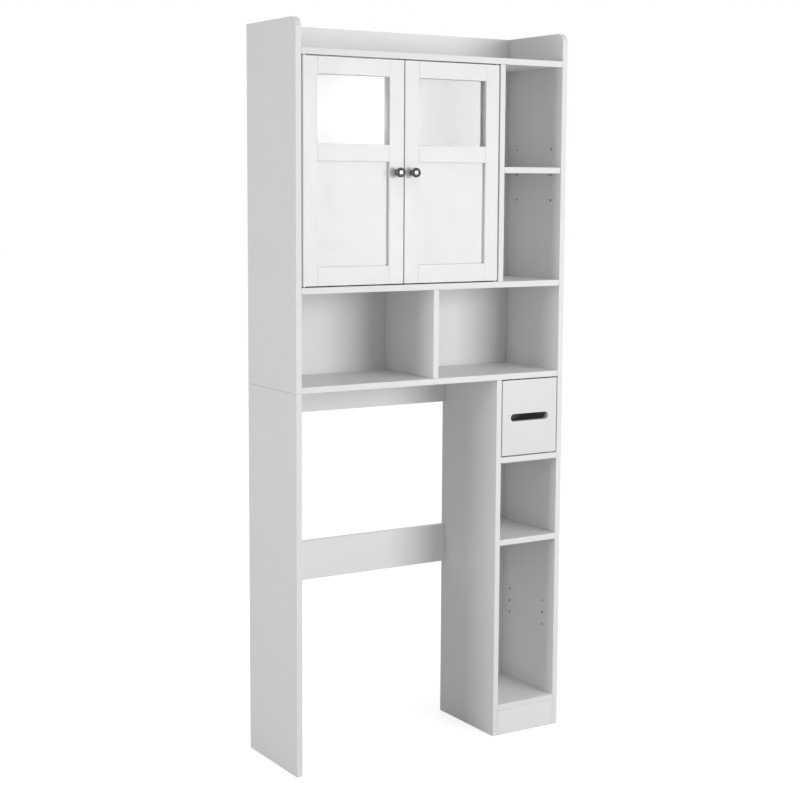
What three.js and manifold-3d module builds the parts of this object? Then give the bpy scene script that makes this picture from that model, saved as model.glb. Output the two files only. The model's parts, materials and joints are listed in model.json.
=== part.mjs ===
// Over the toilet storage rack, in millimetres, +Z up, front towards -Y.
//
// An upper unit (two-door cabinet, open column, two cubbies, gallery rail) stands on a lower unit: one tall
// side on the left and a narrow tower on the right, with the toilet bay between them. The doors turn on
// steel pivot pins, and the tower's top bay holds a pull-out paper drawer with a lift-out spindle.
// The origin is on the floor, at the centre of the rack's box with the knobs counted in.

import * as THREE from 'three';
import { mergeVertices } from 'three/addons/utils/BufferGeometryUtils.js';
import ManifoldModule from 'manifold-3d';

const wasm = await ManifoldModule();
wasm.setup();

// ---------------------------------------------------------------- Driving dimensions

const RACK_WIDTH = 780;
const RACK_DEPTH = 250; // the boards alone, without the knobs
const LOWER_HEIGHT = 929;
const UPPER_HEIGHT = 871;

const BOARD = 15; // carcass boards, doors and the drawer front
const BACK_BOARD = 4;
const BACK_INSET = 16; // carcass rear to the rear face of a back board
const GROOVE_DEPTH = 5;

const TOWER_BAY_WIDTH = 176;
const LEFT_CUBBY_WIDTH = 367;
const CUBBY_HEIGHT = 219;
const GALLERY_HEIGHT = 70;
const CORNER_RADIUS = 25; // front top corner of the upper sides
const PLINTH_HEIGHT = 66;
const DRAWER_BAY_HEIGHT = 199;
const SMALL_BAY_HEIGHT = 199;

const UPPER_STRETCHER_HEIGHT = 80;
const LOWER_STRETCHER_HEIGHT = 100;
const LOWER_STRETCHER_LEVEL = 418;

const SHELF_END_PLAY = 1; // at each end of a shelf that lies on pins
const COLUMN_SHELF_SETBACK = 1;
const CABINET_SHELF_SETBACK = 25; // clears the doors, which stand inside the opening
const COLUMN_SHELF_LEVEL = 270.5; // underside, above the cabinet floor
const CABINET_SHELF_LEVEL = 297;

const PIN_RADIUS = 2.5;
const PIN_LENGTH = 16;
const PIN_HOLE_DEPTH = 9;
const PIN_TIP_GAP = 0.5; // pin end to the bottom of its hole
const UPPER_PIN_PITCH = 65;
const UPPER_PIN_FRONT = 43; // front edge of the board to the front pin
const UPPER_PIN_REAR = 60; // rear edge of the board to the rear pin
const TOWER_PIN_PITCH = 32;
const TOWER_PIN_INSET = 51.5; // from both edges
const TOWER_PIN_LEVEL = 292; // middle hole above the floor

const STILE_WIDTH = 40;
const TOP_RAIL_HEIGHT = 40;
const MIDDLE_RAIL_HEIGHT = 40;
const BOTTOM_RAIL_HEIGHT = 44;
const GLASS_SIGHT_HEIGHT = 159.5; // glass seen between the rails
const PANE_THICKNESS = 3; // glass
const PANEL_THICKNESS = 7;
const RABBET_WIDTH = 6;
const TENON_LENGTH = 8;
const TENON_THICKNESS = 5;
const TENON_SHOULDER = 7; // above and below a tenon

const PIVOT_RADIUS = 2.5;
const PIVOT_FROM_EDGE = 6;
const PIVOT_FROM_FRONT = 6.5;
const PIVOT_IN_DOOR = 14;
const PIVOT_IN_BOARD = 8;
const HINGE_CORNER_RADIUS = 3; // lets the hinge edge turn inside the opening

const KNOB_PROJECTION = 25;
const KNOB_RADIUS = 12;
const KNOB_FOOT_RADIUS = 7;
const KNOB_FOOT_HEIGHT = 2;
const KNOB_NECK_RADIUS = 4.5;
const KNOB_NECK_SPAN = [4.5, 10]; // the straight part of the neck, from the door
const KNOB_HEAD_START = 14; // underside of the head, from the door
const KNOB_RIM_LEVEL = 17.5; // widest part of the head, from the door
const KNOB_RIM_FLARE = 2; // the head's underside is this much narrower than its rim
const KNOB_DROP = 25.5; // middle rail's underside to the knob's centre
const SCREW_RADIUS = 2;
const SCREW_HEAD_RADIUS = 4;
const SCREW_HEAD_HEIGHT = 2.4;
const SCREW_IN_KNOB = 7;

const CATCH_WIDTH = 46;
const CATCH_HEIGHT = 18;
const CATCH_DEPTH = 16;
const CATCH_GAP = 0.5; // closed strike plate to the magnet
const STRIKE_WIDTH = 16;
const STRIKE_HEIGHT = 30;
const STRIKE_THICKNESS = 1.2;
const STRIKE_FROM_EDGE = 4;
const STRIKE_FROM_TOP = 3;

const DRAWER_WALL = 12;
const DRAWER_SIDE_HEIGHT = 130;
const DRAWER_SIDE_INSET = 1; // drawer side's outer face behind the front's edge
const DRAWER_BOTTOM_LEVEL = 8; // drawer side's lower edge to the bottom board
const DRAWER_FLOOR_GAP = 0.5;
const DRAWER_REST_GAP = 0.5; // closed drawer to the back board
const SLOT_WIDTH = 118;
const SLOT_HEIGHT = 19;

const SPINDLE_RADIUS = 8;
const SPINDLE_LEVEL = 84; // spindle's centre above the bay floor
const SPINDLE_END_INSET = 1;
const COLLAR_RADIUS = 11;
const COLLAR_THICKNESS = 3;
const COLLAR_PLAY = 0.7;

const SEAT_GAP = 0.3; // between boards that meet
const GROOVE_PLAY = 0.3;
const PIN_PLAY = 0.15; // radial, round a pin that doesn't turn
const RUNNING_PLAY = 0.08; // radial, round a pin that turns
const EDGE_GAP = 3; // round each door and the drawer front

const PIN_SIDES = 12;
const ROUND_SIDES = 24;
const KNOB_SIDES = 32;
const CORNER_STEPS = 12;
const DOME_STEPS = 6;
const MERGE_DISTANCE = 1e-4;

// ---------------------------------------------------------------- Places worked out from the dimensions

const rackBack = (RACK_DEPTH + KNOB_PROJECTION) / 2;
const rackFront = rackBack - RACK_DEPTH;
const depthSpan = [rackFront, rackBack];

const sideOuter = RACK_WIDTH / 2;
const sideInner = sideOuter - BOARD;
const towerBay = [sideInner - TOWER_BAY_WIDTH, sideInner];
const towerWall = [towerBay[0] - BOARD, towerBay[0]];
const toiletBay = [-sideInner, towerWall[0]];

const backBoardSpan = [rackBack - BACK_INSET - BACK_BOARD, rackBack - BACK_INSET];
const innerDepth = [rackFront, backBoardSpan[0] - SEAT_GAP];
const rearRailSpan = [rackBack - BOARD, rackBack];

// Heights in the upper unit are counted from the seam between the two units.
const cubbyFloor = [0, BOARD];
const cubbySpan = [BOARD, BOARD + CUBBY_HEIGHT];
const cabinetFloor = [cubbySpan[1], cubbySpan[1] + BOARD];
const topBoard = [UPPER_HEIGHT - GALLERY_HEIGHT - BOARD, UPPER_HEIGHT - GALLERY_HEIGHT];
const cabinetSpan = [cabinetFloor[1], topBoard[0]];

// Heights in the lower unit are counted from the floor.
const towerFloor = [PLINTH_HEIGHT, PLINTH_HEIGHT + BOARD];
const drawerBay = [LOWER_HEIGHT - DRAWER_BAY_HEIGHT, LOWER_HEIGHT];
const drawerBayFloor = [drawerBay[0] - BOARD, drawerBay[0]];
const towerShelf = [drawerBayFloor[0] - SMALL_BAY_HEIGHT - BOARD, drawerBayFloor[0] - SMALL_BAY_HEIGHT];

// A door is drawn round its pivot axis: u runs from the hinge towards the meeting edge, v backwards.
const doorWidth = (toiletBay[1] - toiletBay[0] - 3 * EDGE_GAP) / 2;
const doorHeight = cabinetSpan[1] - cabinetSpan[0] - 2 * EDGE_GAP;
const doorFront = -PIVOT_FROM_FRONT;
const doorRear = doorFront + BOARD;
const pivotY = rackFront + PIVOT_FROM_FRONT;
const pivotReach = EDGE_GAP + PIVOT_FROM_EDGE;
const leftPivotX = toiletBay[0] + pivotReach;
const rightPivotX = toiletBay[1] - pivotReach;

// ---------------------------------------------------------------- Finishes

const WHITE_BOARD = { color: 0xe9e9e7, roughness: 0.45, metalness: 0 };
const THIN_BOARD = { color: 0xe2e2df, roughness: 0.55, metalness: 0 };
const DOOR_PAINT = { color: 0xededeb, roughness: 0.4, metalness: 0 };
const CLEAR_GLASS = { color: 0xdfe7e6, roughness: 0.05, metalness: 0, transparent: true, opacity: 0.35 };
const POLISHED_NICKEL = { color: 0xb9b6b0, roughness: 0.15, metalness: 1 };
const ZINC_STEEL = { color: 0xa8abad, roughness: 0.35, metalness: 1 };
const WHITE_PLASTIC = { color: 0xf0f0ee, roughness: 0.5, metalness: 0 };

// ---------------------------------------------------------------- Solids

const mid = (span) => (span[0] + span[1]) / 2;
const size = (span) => span[1] - span[0];
const inset = (span, gap) => [span[0] + gap, span[1] - gap];
const sorted = (a, b) => (a < b ? [a, b] : [b, a]);

/** Turns a closed three.js geometry into a solid that can be cut and joined. */
function toSolid(geometry) {
  geometry.deleteAttribute('normal');
  geometry.deleteAttribute('uv');
  const merged = mergeVertices(geometry, MERGE_DISTANCE);
  const mesh = new wasm.Mesh({
    numProp: 3,
    vertProperties: new Float32Array(merged.attributes.position.array),
    triVerts: new Uint32Array(merged.index.array),
  });
  return new wasm.Manifold(mesh);
}

/** A block that fills three spans. */
function block(x, y, z) {
  const geometry = new THREE.BoxGeometry(size(x), size(y), size(z));
  return toSolid(geometry.translate(mid(x), mid(y), mid(z)));
}

/** Turns a shape that stands along +Y onto another axis, keeping its centre. */
function layAlong(geometry, axis) {
  if (axis === 'x') {
    geometry.rotateZ(-Math.PI / 2);
  }
  if (axis === 'z') {
    geometry.rotateX(Math.PI / 2);
  }
  return geometry;
}

/** A round rod over a span of one axis; centre gives its other two coordinates. */
function rod(axis, centre, span, radius, sides) {
  const geometry = layAlong(new THREE.CylinderGeometry(radius, radius, size(span), sides), axis);
  const place = { x: 0, y: 0, z: 0, ...centre, [axis]: mid(span) };
  return toSolid(geometry.translate(place.x, place.y, place.z));
}

/** The radius of a many-sided hole whose flats keep a stated gap to the pin inside it. */
function holeRadius(pinRadius, play, sides) {
  return (pinRadius + play) / Math.cos(Math.PI / sides);
}

/** A flat outline in the plane across an axis, given thickness over a span of that axis. */
function prism(axis, outline, span) {
  const options = { depth: size(span), bevelEnabled: false, curveSegments: CORNER_STEPS };
  const geometry = new THREE.ExtrudeGeometry(outline, options);
  if (axis === 'x') {
    const yAxis = new THREE.Vector3(0, 1, 0);
    const zAxis = new THREE.Vector3(0, 0, 1);
    const xAxis = new THREE.Vector3(1, 0, 0);
    geometry.applyMatrix4(new THREE.Matrix4().makeBasis(yAxis, zAxis, xAxis));
    geometry.translate(span[0], 0, 0);
  } else if (axis === 'y') {
    geometry.rotateX(Math.PI / 2);
    geometry.translate(0, span[1], 0);
  } else {
    geometry.translate(0, 0, span[0]);
  }
  return toSolid(geometry);
}

/** Takes each cutter away from a solid. */
function cut(solid, cutters) {
  return cutters.reduce((left, cutter) => left.subtract(cutter), solid);
}

/** Adds a solid to a group as a named piece with its own material. */
function addPiece(group, name, solid, finish) {
  const { vertProperties, triVerts } = solid.getMesh();
  const geometry = new THREE.BufferGeometry();
  geometry.setAttribute('position', new THREE.BufferAttribute(vertProperties, 3));
  geometry.setIndex(new THREE.BufferAttribute(triVerts, 1));
  geometry.computeVertexNormals();
  const piece = new THREE.Mesh(geometry, new THREE.MeshStandardMaterial(finish));
  piece.name = name;
  group.add(piece);
}

// ---------------------------------------------------------------- Shelf pins and their holes

const upperPinRows = [rackFront + UPPER_PIN_FRONT, rackBack - UPPER_PIN_REAR];
const towerPinRows = [rackFront + TOWER_PIN_INSET, rackBack - TOWER_PIN_INSET];
const columnPinLevel = cabinetSpan[0] + COLUMN_SHELF_LEVEL - SEAT_GAP - PIN_RADIUS;
const cabinetPinLevel = cabinetSpan[0] + CABINET_SHELF_LEVEL - SEAT_GAP - PIN_RADIUS;

/** Holes for shelf pins in the board face at x: three levels, at each of the given places in depth. */
function pinHoles(x, intoBoard, rows, middleLevel, pitch) {
  const span = sorted(x - intoBoard * SEAT_GAP, x + intoBoard * PIN_HOLE_DEPTH);
  const radius = PIN_RADIUS + PIN_PLAY;
  const levels = [middleLevel - pitch, middleLevel, middleLevel + pitch];
  return rows.flatMap((y) => levels.map((z) => rod('x', { y, z }, span, radius, PIN_SIDES)));
}

/** Two shelf pins that stand out of the board face at x. */
function addShelfPins(group, prefix, x, intoBoard, level) {
  const deepEnd = x + intoBoard * (PIN_HOLE_DEPTH - PIN_TIP_GAP);
  const span = sorted(deepEnd, deepEnd - intoBoard * PIN_LENGTH);
  ['front', 'rear'].forEach((row, index) => {
    const centre = { y: upperPinRows[index], z: level };
    const pin = rod('x', centre, span, PIN_RADIUS, PIN_SIDES);
    addPiece(group, `${prefix}_${row}_pin`, pin, ZINC_STEEL);
  });
}

// ---------------------------------------------------------------- Upper unit

const upperBackBoard = {
  x: inset([-sideInner - GROOVE_DEPTH, sideInner + GROOVE_DEPTH], GROOVE_PLAY),
  z: inset([cubbySpan[0] - GROOVE_DEPTH, cabinetSpan[1] + GROOVE_DEPTH], GROOVE_PLAY),
};
const backGrooveDepthwise = inset(backBoardSpan, -GROOVE_PLAY);
const upperGroove = block(
  inset(upperBackBoard.x, -GROOVE_PLAY),
  backGrooveDepthwise,
  inset(upperBackBoard.z, -GROOVE_PLAY),
);

/** An upper side board, seen from its end: square but for the rounded front top corner. */
function upperSideOutline() {
  const outline = new THREE.Shape();
  outline.moveTo(rackBack, SEAT_GAP);
  outline.lineTo(rackBack, UPPER_HEIGHT);
  outline.lineTo(rackFront + CORNER_RADIUS, UPPER_HEIGHT);
  outline.absarc(
    rackFront + CORNER_RADIUS,
    UPPER_HEIGHT - CORNER_RADIUS,
    CORNER_RADIUS,
    Math.PI / 2,
    Math.PI,
    false,
  );
  outline.lineTo(rackFront, SEAT_GAP);
  return outline;
}

/** Blind holes in a board for the ends of both doors' pivot pins. */
function pivotHoles(z) {
  const radius = holeRadius(PIVOT_RADIUS, RUNNING_PLAY, ROUND_SIDES);
  return [leftPivotX, rightPivotX].map((x) => rod('z', { x, y: pivotY }, z, radius, ROUND_SIDES));
}

function buildUpperUnit() {
  const unit = new THREE.Group();
  unit.position.z = LOWER_HEIGHT;
  const pivotHoleDepth = PIVOT_IN_BOARD + PIN_TIP_GAP;
  const betweenSides = inset([-sideInner, sideInner], SEAT_GAP);
  const cabinetSides = [-sideInner, towerWall[0]];
  const columnSides = towerBay;

  const leftSide = prism('x', upperSideOutline(), [-sideOuter, -sideInner]);
  const leftPinHoles = pinHoles(-sideInner, -1, upperPinRows, cabinetPinLevel, UPPER_PIN_PITCH);
  addPiece(unit, 'upper_left_side', cut(leftSide, [upperGroove, ...leftPinHoles]), WHITE_BOARD);

  const rightSide = prism('x', upperSideOutline(), [sideInner, sideOuter]);
  const rightPinHoles = pinHoles(sideInner, 1, upperPinRows, columnPinLevel, UPPER_PIN_PITCH);
  addPiece(unit, 'upper_right_side', cut(rightSide, [upperGroove, ...rightPinHoles]), WHITE_BOARD);

  const topCuts = pivotHoles([topBoard[0] - SEAT_GAP, topBoard[0] + pivotHoleDepth]);
  const topPanel = block(betweenSides, depthSpan, topBoard);
  addPiece(unit, 'top_panel', cut(topPanel, [upperGroove, ...topCuts]), WHITE_BOARD);

  const galleryHeights = [topBoard[1] + SEAT_GAP, UPPER_HEIGHT];
  addPiece(unit, 'gallery_rail', block(betweenSides, rearRailSpan, galleryHeights), WHITE_BOARD);

  const bottomBoard = block(betweenSides, depthSpan, cubbyFloor);
  addPiece(unit, 'cubby_floor', cut(bottomBoard, [upperGroove]), WHITE_BOARD);

  const floorCuts = pivotHoles([cabinetFloor[1] - pivotHoleDepth, cabinetFloor[1] + SEAT_GAP]);
  const floorBoard = block(betweenSides, innerDepth, cabinetFloor);
  addPiece(unit, 'cabinet_floor', cut(floorBoard, floorCuts), WHITE_BOARD);

  const cubbyDividerX = [-sideInner + LEFT_CUBBY_WIDTH, -sideInner + LEFT_CUBBY_WIDTH + BOARD];
  const cubbyDivider = block(cubbyDividerX, innerDepth, inset(cubbySpan, SEAT_GAP));
  addPiece(unit, 'cubby_divider', cubbyDivider, WHITE_BOARD);

  const dividerCuts = [
    ...pinHoles(towerWall[0], 1, upperPinRows, cabinetPinLevel, UPPER_PIN_PITCH),
    ...pinHoles(towerWall[1], -1, upperPinRows, columnPinLevel, UPPER_PIN_PITCH),
  ];
  const divider = block(towerWall, innerDepth, inset(cabinetSpan, SEAT_GAP));
  addPiece(unit, 'cabinet_divider', cut(divider, dividerCuts), WHITE_BOARD);

  const backBoard = block(upperBackBoard.x, backBoardSpan, upperBackBoard.z);
  addPiece(unit, 'upper_back_panel', backBoard, THIN_BOARD);

  addShelf(unit, 'cabinet_shelf', cabinetSides, CABINET_SHELF_SETBACK, CABINET_SHELF_LEVEL);
  addShelfPins(unit, 'cabinet_left', cabinetSides[0], -1, cabinetPinLevel);
  addShelfPins(unit, 'cabinet_right', cabinetSides[1], 1, cabinetPinLevel);

  addShelf(unit, 'column_shelf', columnSides, COLUMN_SHELF_SETBACK, COLUMN_SHELF_LEVEL);
  addShelfPins(unit, 'column_left', columnSides[0], -1, columnPinLevel);
  addShelfPins(unit, 'column_right', columnSides[1], 1, columnPinLevel);

  addMagneticCatch(unit);
  return unit;
}

/** A shelf that lies on four pins between two boards. */
function addShelf(unit, name, betweenBoards, setback, level) {
  const underside = cabinetSpan[0] + level;
  const depth = [rackFront + setback, innerDepth[1]];
  const shelf = block(inset(betweenBoards, SHELF_END_PLAY), depth, [underside, underside + BOARD]);
  addPiece(unit, name, shelf, WHITE_BOARD);
}

/** A double magnetic catch under the top panel, behind the line where the doors meet. */
function addMagneticCatch(unit) {
  const centreX = mid(toiletBay);
  const top = topBoard[0] - SEAT_GAP;
  const front = pivotY + doorRear + SEAT_GAP + STRIKE_THICKNESS + CATCH_GAP;
  const halfWidth = CATCH_WIDTH / 2;
  const body = block(
    [centreX - halfWidth, centreX + halfWidth],
    [front, front + CATCH_DEPTH],
    [top - CATCH_HEIGHT, top],
  );
  addPiece(unit, 'magnetic_catch', body, WHITE_PLASTIC);
}

// ---------------------------------------------------------------- Lower unit

function buildLowerUnit() {
  const unit = new THREE.Group();
  const fullHeight = [0, LOWER_HEIGHT];
  const betweenTowerWalls = inset(towerBay, SEAT_GAP);
  const betweenToiletWalls = inset(toiletBay, SEAT_GAP);
  const towerBackBoard = {
    x: inset([towerBay[0] - GROOVE_DEPTH, towerBay[1] + GROOVE_DEPTH], GROOVE_PLAY),
    z: [towerFloor[1] - GROOVE_DEPTH + GROOVE_PLAY, LOWER_HEIGHT - SEAT_GAP],
  };
  const towerGroove = block(
    inset(towerBackBoard.x, -GROOVE_PLAY),
    backGrooveDepthwise,
    [towerBackBoard.z[0] - GROOVE_PLAY, LOWER_HEIGHT + SEAT_GAP],
  );

  const leftSide = block([-sideOuter, -sideInner], depthSpan, fullHeight);
  addPiece(unit, 'lower_left_side', leftSide, WHITE_BOARD);

  const towerLeft = block(towerWall, depthSpan, [0, LOWER_HEIGHT - SEAT_GAP]);
  const towerLeftCuts = pinHoles(towerBay[0], -1, towerPinRows, TOWER_PIN_LEVEL, TOWER_PIN_PITCH);
  addPiece(unit, 'tower_left_side', cut(towerLeft, [towerGroove, ...towerLeftCuts]), WHITE_BOARD);

  const towerRight = block([sideInner, sideOuter], depthSpan, fullHeight);
  const towerRightCuts = pinHoles(towerBay[1], 1, towerPinRows, TOWER_PIN_LEVEL, TOWER_PIN_PITCH);
  addPiece(unit, 'lower_right_side', cut(towerRight, [towerGroove, ...towerRightCuts]), WHITE_BOARD);

  const floorBoard = block(betweenTowerWalls, depthSpan, towerFloor);
  addPiece(unit, 'tower_floor', cut(floorBoard, [towerGroove]), WHITE_BOARD);

  const plinthDepth = [rackFront, rackFront + BOARD];
  const plinth = block(betweenTowerWalls, plinthDepth, [0, PLINTH_HEIGHT - SEAT_GAP]);
  addPiece(unit, 'plinth', plinth, WHITE_BOARD);

  addPiece(unit, 'tower_shelf', block(betweenTowerWalls, innerDepth, towerShelf), WHITE_BOARD);
  addPiece(unit, 'drawer_bay_floor', block(betweenTowerWalls, innerDepth, drawerBayFloor), WHITE_BOARD);

  const backBoard = block(towerBackBoard.x, backBoardSpan, towerBackBoard.z);
  addPiece(unit, 'tower_back_panel', backBoard, THIN_BOARD);

  const upperStretcher = [LOWER_HEIGHT - UPPER_STRETCHER_HEIGHT, LOWER_HEIGHT - SEAT_GAP];
  addPiece(unit, 'upper_stretcher', block(betweenToiletWalls, rearRailSpan, upperStretcher), WHITE_BOARD);

  const lowerStretcher = [LOWER_STRETCHER_LEVEL, LOWER_STRETCHER_LEVEL + LOWER_STRETCHER_HEIGHT];
  addPiece(unit, 'lower_stretcher', block(betweenToiletWalls, rearRailSpan, lowerStretcher), WHITE_BOARD);
  return unit;
}

// ---------------------------------------------------------------- Doors

const railHeights = {
  bottom: [0, BOTTOM_RAIL_HEIGHT],
  middle: [
    doorHeight - TOP_RAIL_HEIGHT - GLASS_SIGHT_HEIGHT - MIDDLE_RAIL_HEIGHT,
    doorHeight - TOP_RAIL_HEIGHT - GLASS_SIGHT_HEIGHT,
  ],
  top: [doorHeight - TOP_RAIL_HEIGHT, doorHeight],
};
const panelSight = [railHeights.bottom[1], railHeights.middle[0]];
const glassSight = [railHeights.middle[1], railHeights.top[0]];
const sightWidth = [STILE_WIDTH - PIVOT_FROM_EDGE, doorWidth - PIVOT_FROM_EDGE - STILE_WIDTH];
const doorMiddle = mid([doorFront, doorRear]);
const tenonDepthwise = [doorMiddle - TENON_THICKNESS / 2, doorMiddle + TENON_THICKNESS / 2];
const knobLevel = railHeights.middle[0] - KNOB_DROP;

/** Pieces of one door in a group on its pivot axis; hand is 1 for the left door and -1 for the right. */
function buildDoor(name, hand, pivotX) {
  const door = new THREE.Group();
  door.position.set(pivotX, pivotY, LOWER_HEIGHT + cabinetSpan[0] + EDGE_GAP);
  const across = (span) => sorted(hand * span[0], hand * span[1]);
  const hingeStile = [-PIVOT_FROM_EDGE, sightWidth[0]];
  const meetingStile = [sightWidth[1], doorWidth - PIVOT_FROM_EDGE];
  const knobU = mid(meetingStile);

  const rabbetFor = (sight, thickness) => block(
    across(inset(sightWidth, -RABBET_WIDTH)),
    [doorRear - thickness - SEAT_GAP, doorRear + SEAT_GAP],
    inset(sight, -RABBET_WIDTH),
  );
  const rabbets = [rabbetFor(panelSight, PANEL_THICKNESS), rabbetFor(glassSight, PANE_THICKNESS)];
  const mortises = Object.values(railHeights).map((heights) => block(
    across(inset(sightWidth, -TENON_LENGTH - SEAT_GAP)),
    inset(tenonDepthwise, -SEAT_GAP),
    inset(heights, TENON_SHOULDER - SEAT_GAP),
  ));

  const stileOutline = hingeStileOutline(hand, hingeStile);
  const pivotBores = [
    [-SEAT_GAP, PIVOT_IN_DOOR + PIN_TIP_GAP],
    [doorHeight - PIVOT_IN_DOOR - PIN_TIP_GAP, doorHeight + SEAT_GAP],
  ].map((span) => rod('z', {}, span, PIVOT_RADIUS + PIN_PLAY, ROUND_SIDES));
  const hingeSide = cut(prism('z', stileOutline, [0, doorHeight]), [...rabbets, ...mortises, ...pivotBores]);
  addPiece(door, `${name}_hinge_stile`, hingeSide, DOOR_PAINT);

  const boreSpan = [doorFront - SEAT_GAP, doorRear + SEAT_GAP];
  const screwBore = rod('y', { x: hand * knobU, z: knobLevel }, boreSpan, SCREW_RADIUS + PIN_PLAY, PIN_SIDES);
  const meetingBlock = block(across(meetingStile), [doorFront, doorRear], [0, doorHeight]);
  const meetingSide = cut(meetingBlock, [...rabbets, ...mortises, screwBore]);
  addPiece(door, `${name}_meeting_stile`, meetingSide, DOOR_PAINT);

  for (const [place, heights] of Object.entries(railHeights)) {
    const body = block(across(inset(sightWidth, SEAT_GAP)), [doorFront, doorRear], heights);
    const tenonsAcross = across(inset(sightWidth, -TENON_LENGTH));
    const tenons = block(tenonsAcross, tenonDepthwise, inset(heights, TENON_SHOULDER));
    addPiece(door, `${name}_${place}_rail`, cut(body.add(tenons), rabbets), DOOR_PAINT);
  }

  const infillFor = (sight, thickness) => block(
    across(inset(sightWidth, -RABBET_WIDTH + SEAT_GAP)),
    [doorRear - thickness, doorRear],
    inset(sight, -RABBET_WIDTH + SEAT_GAP),
  );
  addPiece(door, `${name}_glass`, infillFor(glassSight, PANE_THICKNESS), CLEAR_GLASS);
  addPiece(door, `${name}_panel`, infillFor(panelSight, PANEL_THICKNESS), DOOR_PAINT);

  const outside = EDGE_GAP + PIVOT_IN_BOARD;
  const pinSpans = {
    bottom: [-outside, PIVOT_IN_DOOR],
    top: [doorHeight - PIVOT_IN_DOOR, doorHeight + outside],
  };
  for (const [place, span] of Object.entries(pinSpans)) {
    addPiece(door, `${name}_${place}_pivot_pin`, rod('z', {}, span, PIVOT_RADIUS, ROUND_SIDES), ZINC_STEEL);
  }

  addPiece(door, `${name}_knob`, knobSolid(hand * knobU), POLISHED_NICKEL);
  addPiece(door, `${name}_knob_screw`, knobScrewSolid(hand * knobU), ZINC_STEEL);

  const strikeEdge = meetingStile[1] - STRIKE_FROM_EDGE;
  const strikeTop = doorHeight - STRIKE_FROM_TOP;
  const strike = block(
    across([strikeEdge - STRIKE_WIDTH, strikeEdge]),
    [doorRear + SEAT_GAP, doorRear + SEAT_GAP + STRIKE_THICKNESS],
    [strikeTop - STRIKE_HEIGHT, strikeTop],
  );
  addPiece(door, `${name}_strike_plate`, strike, ZINC_STEEL);
  return door;
}

/** The hinge stile seen from above, with its front hinge corner rounded. */
function hingeStileOutline(hand, stile) {
  const radius = HINGE_CORNER_RADIUS;
  const outline = new THREE.Shape();
  outline.moveTo(hand * stile[1], doorFront);
  outline.lineTo(hand * stile[1], doorRear);
  outline.lineTo(hand * stile[0], doorRear);
  outline.lineTo(hand * stile[0], doorFront + radius);
  const start = hand > 0 ? Math.PI : 0;
  const end = start + (hand * Math.PI) / 2;
  outline.absarc(hand * (stile[0] + radius), doorFront + radius, radius, start, end, hand < 0);
  return outline;
}

/** Turns a profile of [radius, distance] points round the Y axis; forwards is the way distances count. */
function turned(profile, centre, startY, forwards, sides) {
  const points = profile.map(([radius, distance]) => new THREE.Vector2(radius, distance));
  const geometry = new THREE.LatheGeometry(points, sides);
  if (forwards < 0) {
    geometry.rotateX(Math.PI);
  }
  return toSolid(geometry.translate(centre.x, startY, centre.z));
}

/** A mushroom knob: a small foot, a waisted neck and a low domed head, with a blind hole for its screw. */
function knobSolid(x) {
  const boreRadius = SCREW_RADIUS + PIN_PLAY;
  const boreDepth = SCREW_IN_KNOB + PIN_TIP_GAP;
  const profile = [
    [0, boreDepth],
    [boreRadius, boreDepth],
    [boreRadius, SEAT_GAP],
    [KNOB_FOOT_RADIUS, SEAT_GAP],
    [KNOB_FOOT_RADIUS, KNOB_FOOT_HEIGHT],
    [KNOB_NECK_RADIUS, KNOB_NECK_SPAN[0]],
    [KNOB_NECK_RADIUS, KNOB_NECK_SPAN[1]],
    [KNOB_RADIUS - KNOB_RIM_FLARE, KNOB_HEAD_START],
    [KNOB_RADIUS, KNOB_RIM_LEVEL],
  ];
  for (let step = 1; step <= DOME_STEPS; step += 1) {
    const angle = (step / DOME_STEPS) * (Math.PI / 2);
    const radius = step === DOME_STEPS ? 0 : KNOB_RADIUS * Math.cos(angle);
    profile.push([radius, KNOB_RIM_LEVEL + (KNOB_PROJECTION - KNOB_RIM_LEVEL) * Math.sin(angle)]);
  }
  return turned(profile, { x, z: knobLevel }, doorFront, -1, KNOB_SIDES);
}

/** The screw that holds a knob, its head behind the door. */
function knobScrewSolid(x) {
  const tip = SCREW_HEAD_HEIGHT + SEAT_GAP + BOARD + SCREW_IN_KNOB;
  const profile = [
    [0, 0],
    [SCREW_HEAD_RADIUS, 0],
    [SCREW_HEAD_RADIUS, SCREW_HEAD_HEIGHT],
    [SCREW_RADIUS, SCREW_HEAD_HEIGHT],
    [SCREW_RADIUS, tip],
    [0, tip],
  ];
  return turned(profile, { x, z: knobLevel }, doorRear + SEAT_GAP + SCREW_HEAD_HEIGHT, -1, PIN_SIDES);
}

// ---------------------------------------------------------------- Paper drawer and its spindle

const drawerHalfWidth = TOWER_BAY_WIDTH / 2 - EDGE_GAP;
const sideOuterX = drawerHalfWidth - DRAWER_SIDE_INSET;
const sideInnerX = sideOuterX - DRAWER_WALL;
const drawerLength = backBoardSpan[0] - DRAWER_REST_GAP - rackFront;
const drawerBox = [BOARD + SEAT_GAP, drawerLength];
const drawerBackSpan = [drawerLength - DRAWER_WALL, drawerLength];
const spindleY = mid([BOARD, drawerBackSpan[0]]);

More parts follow.
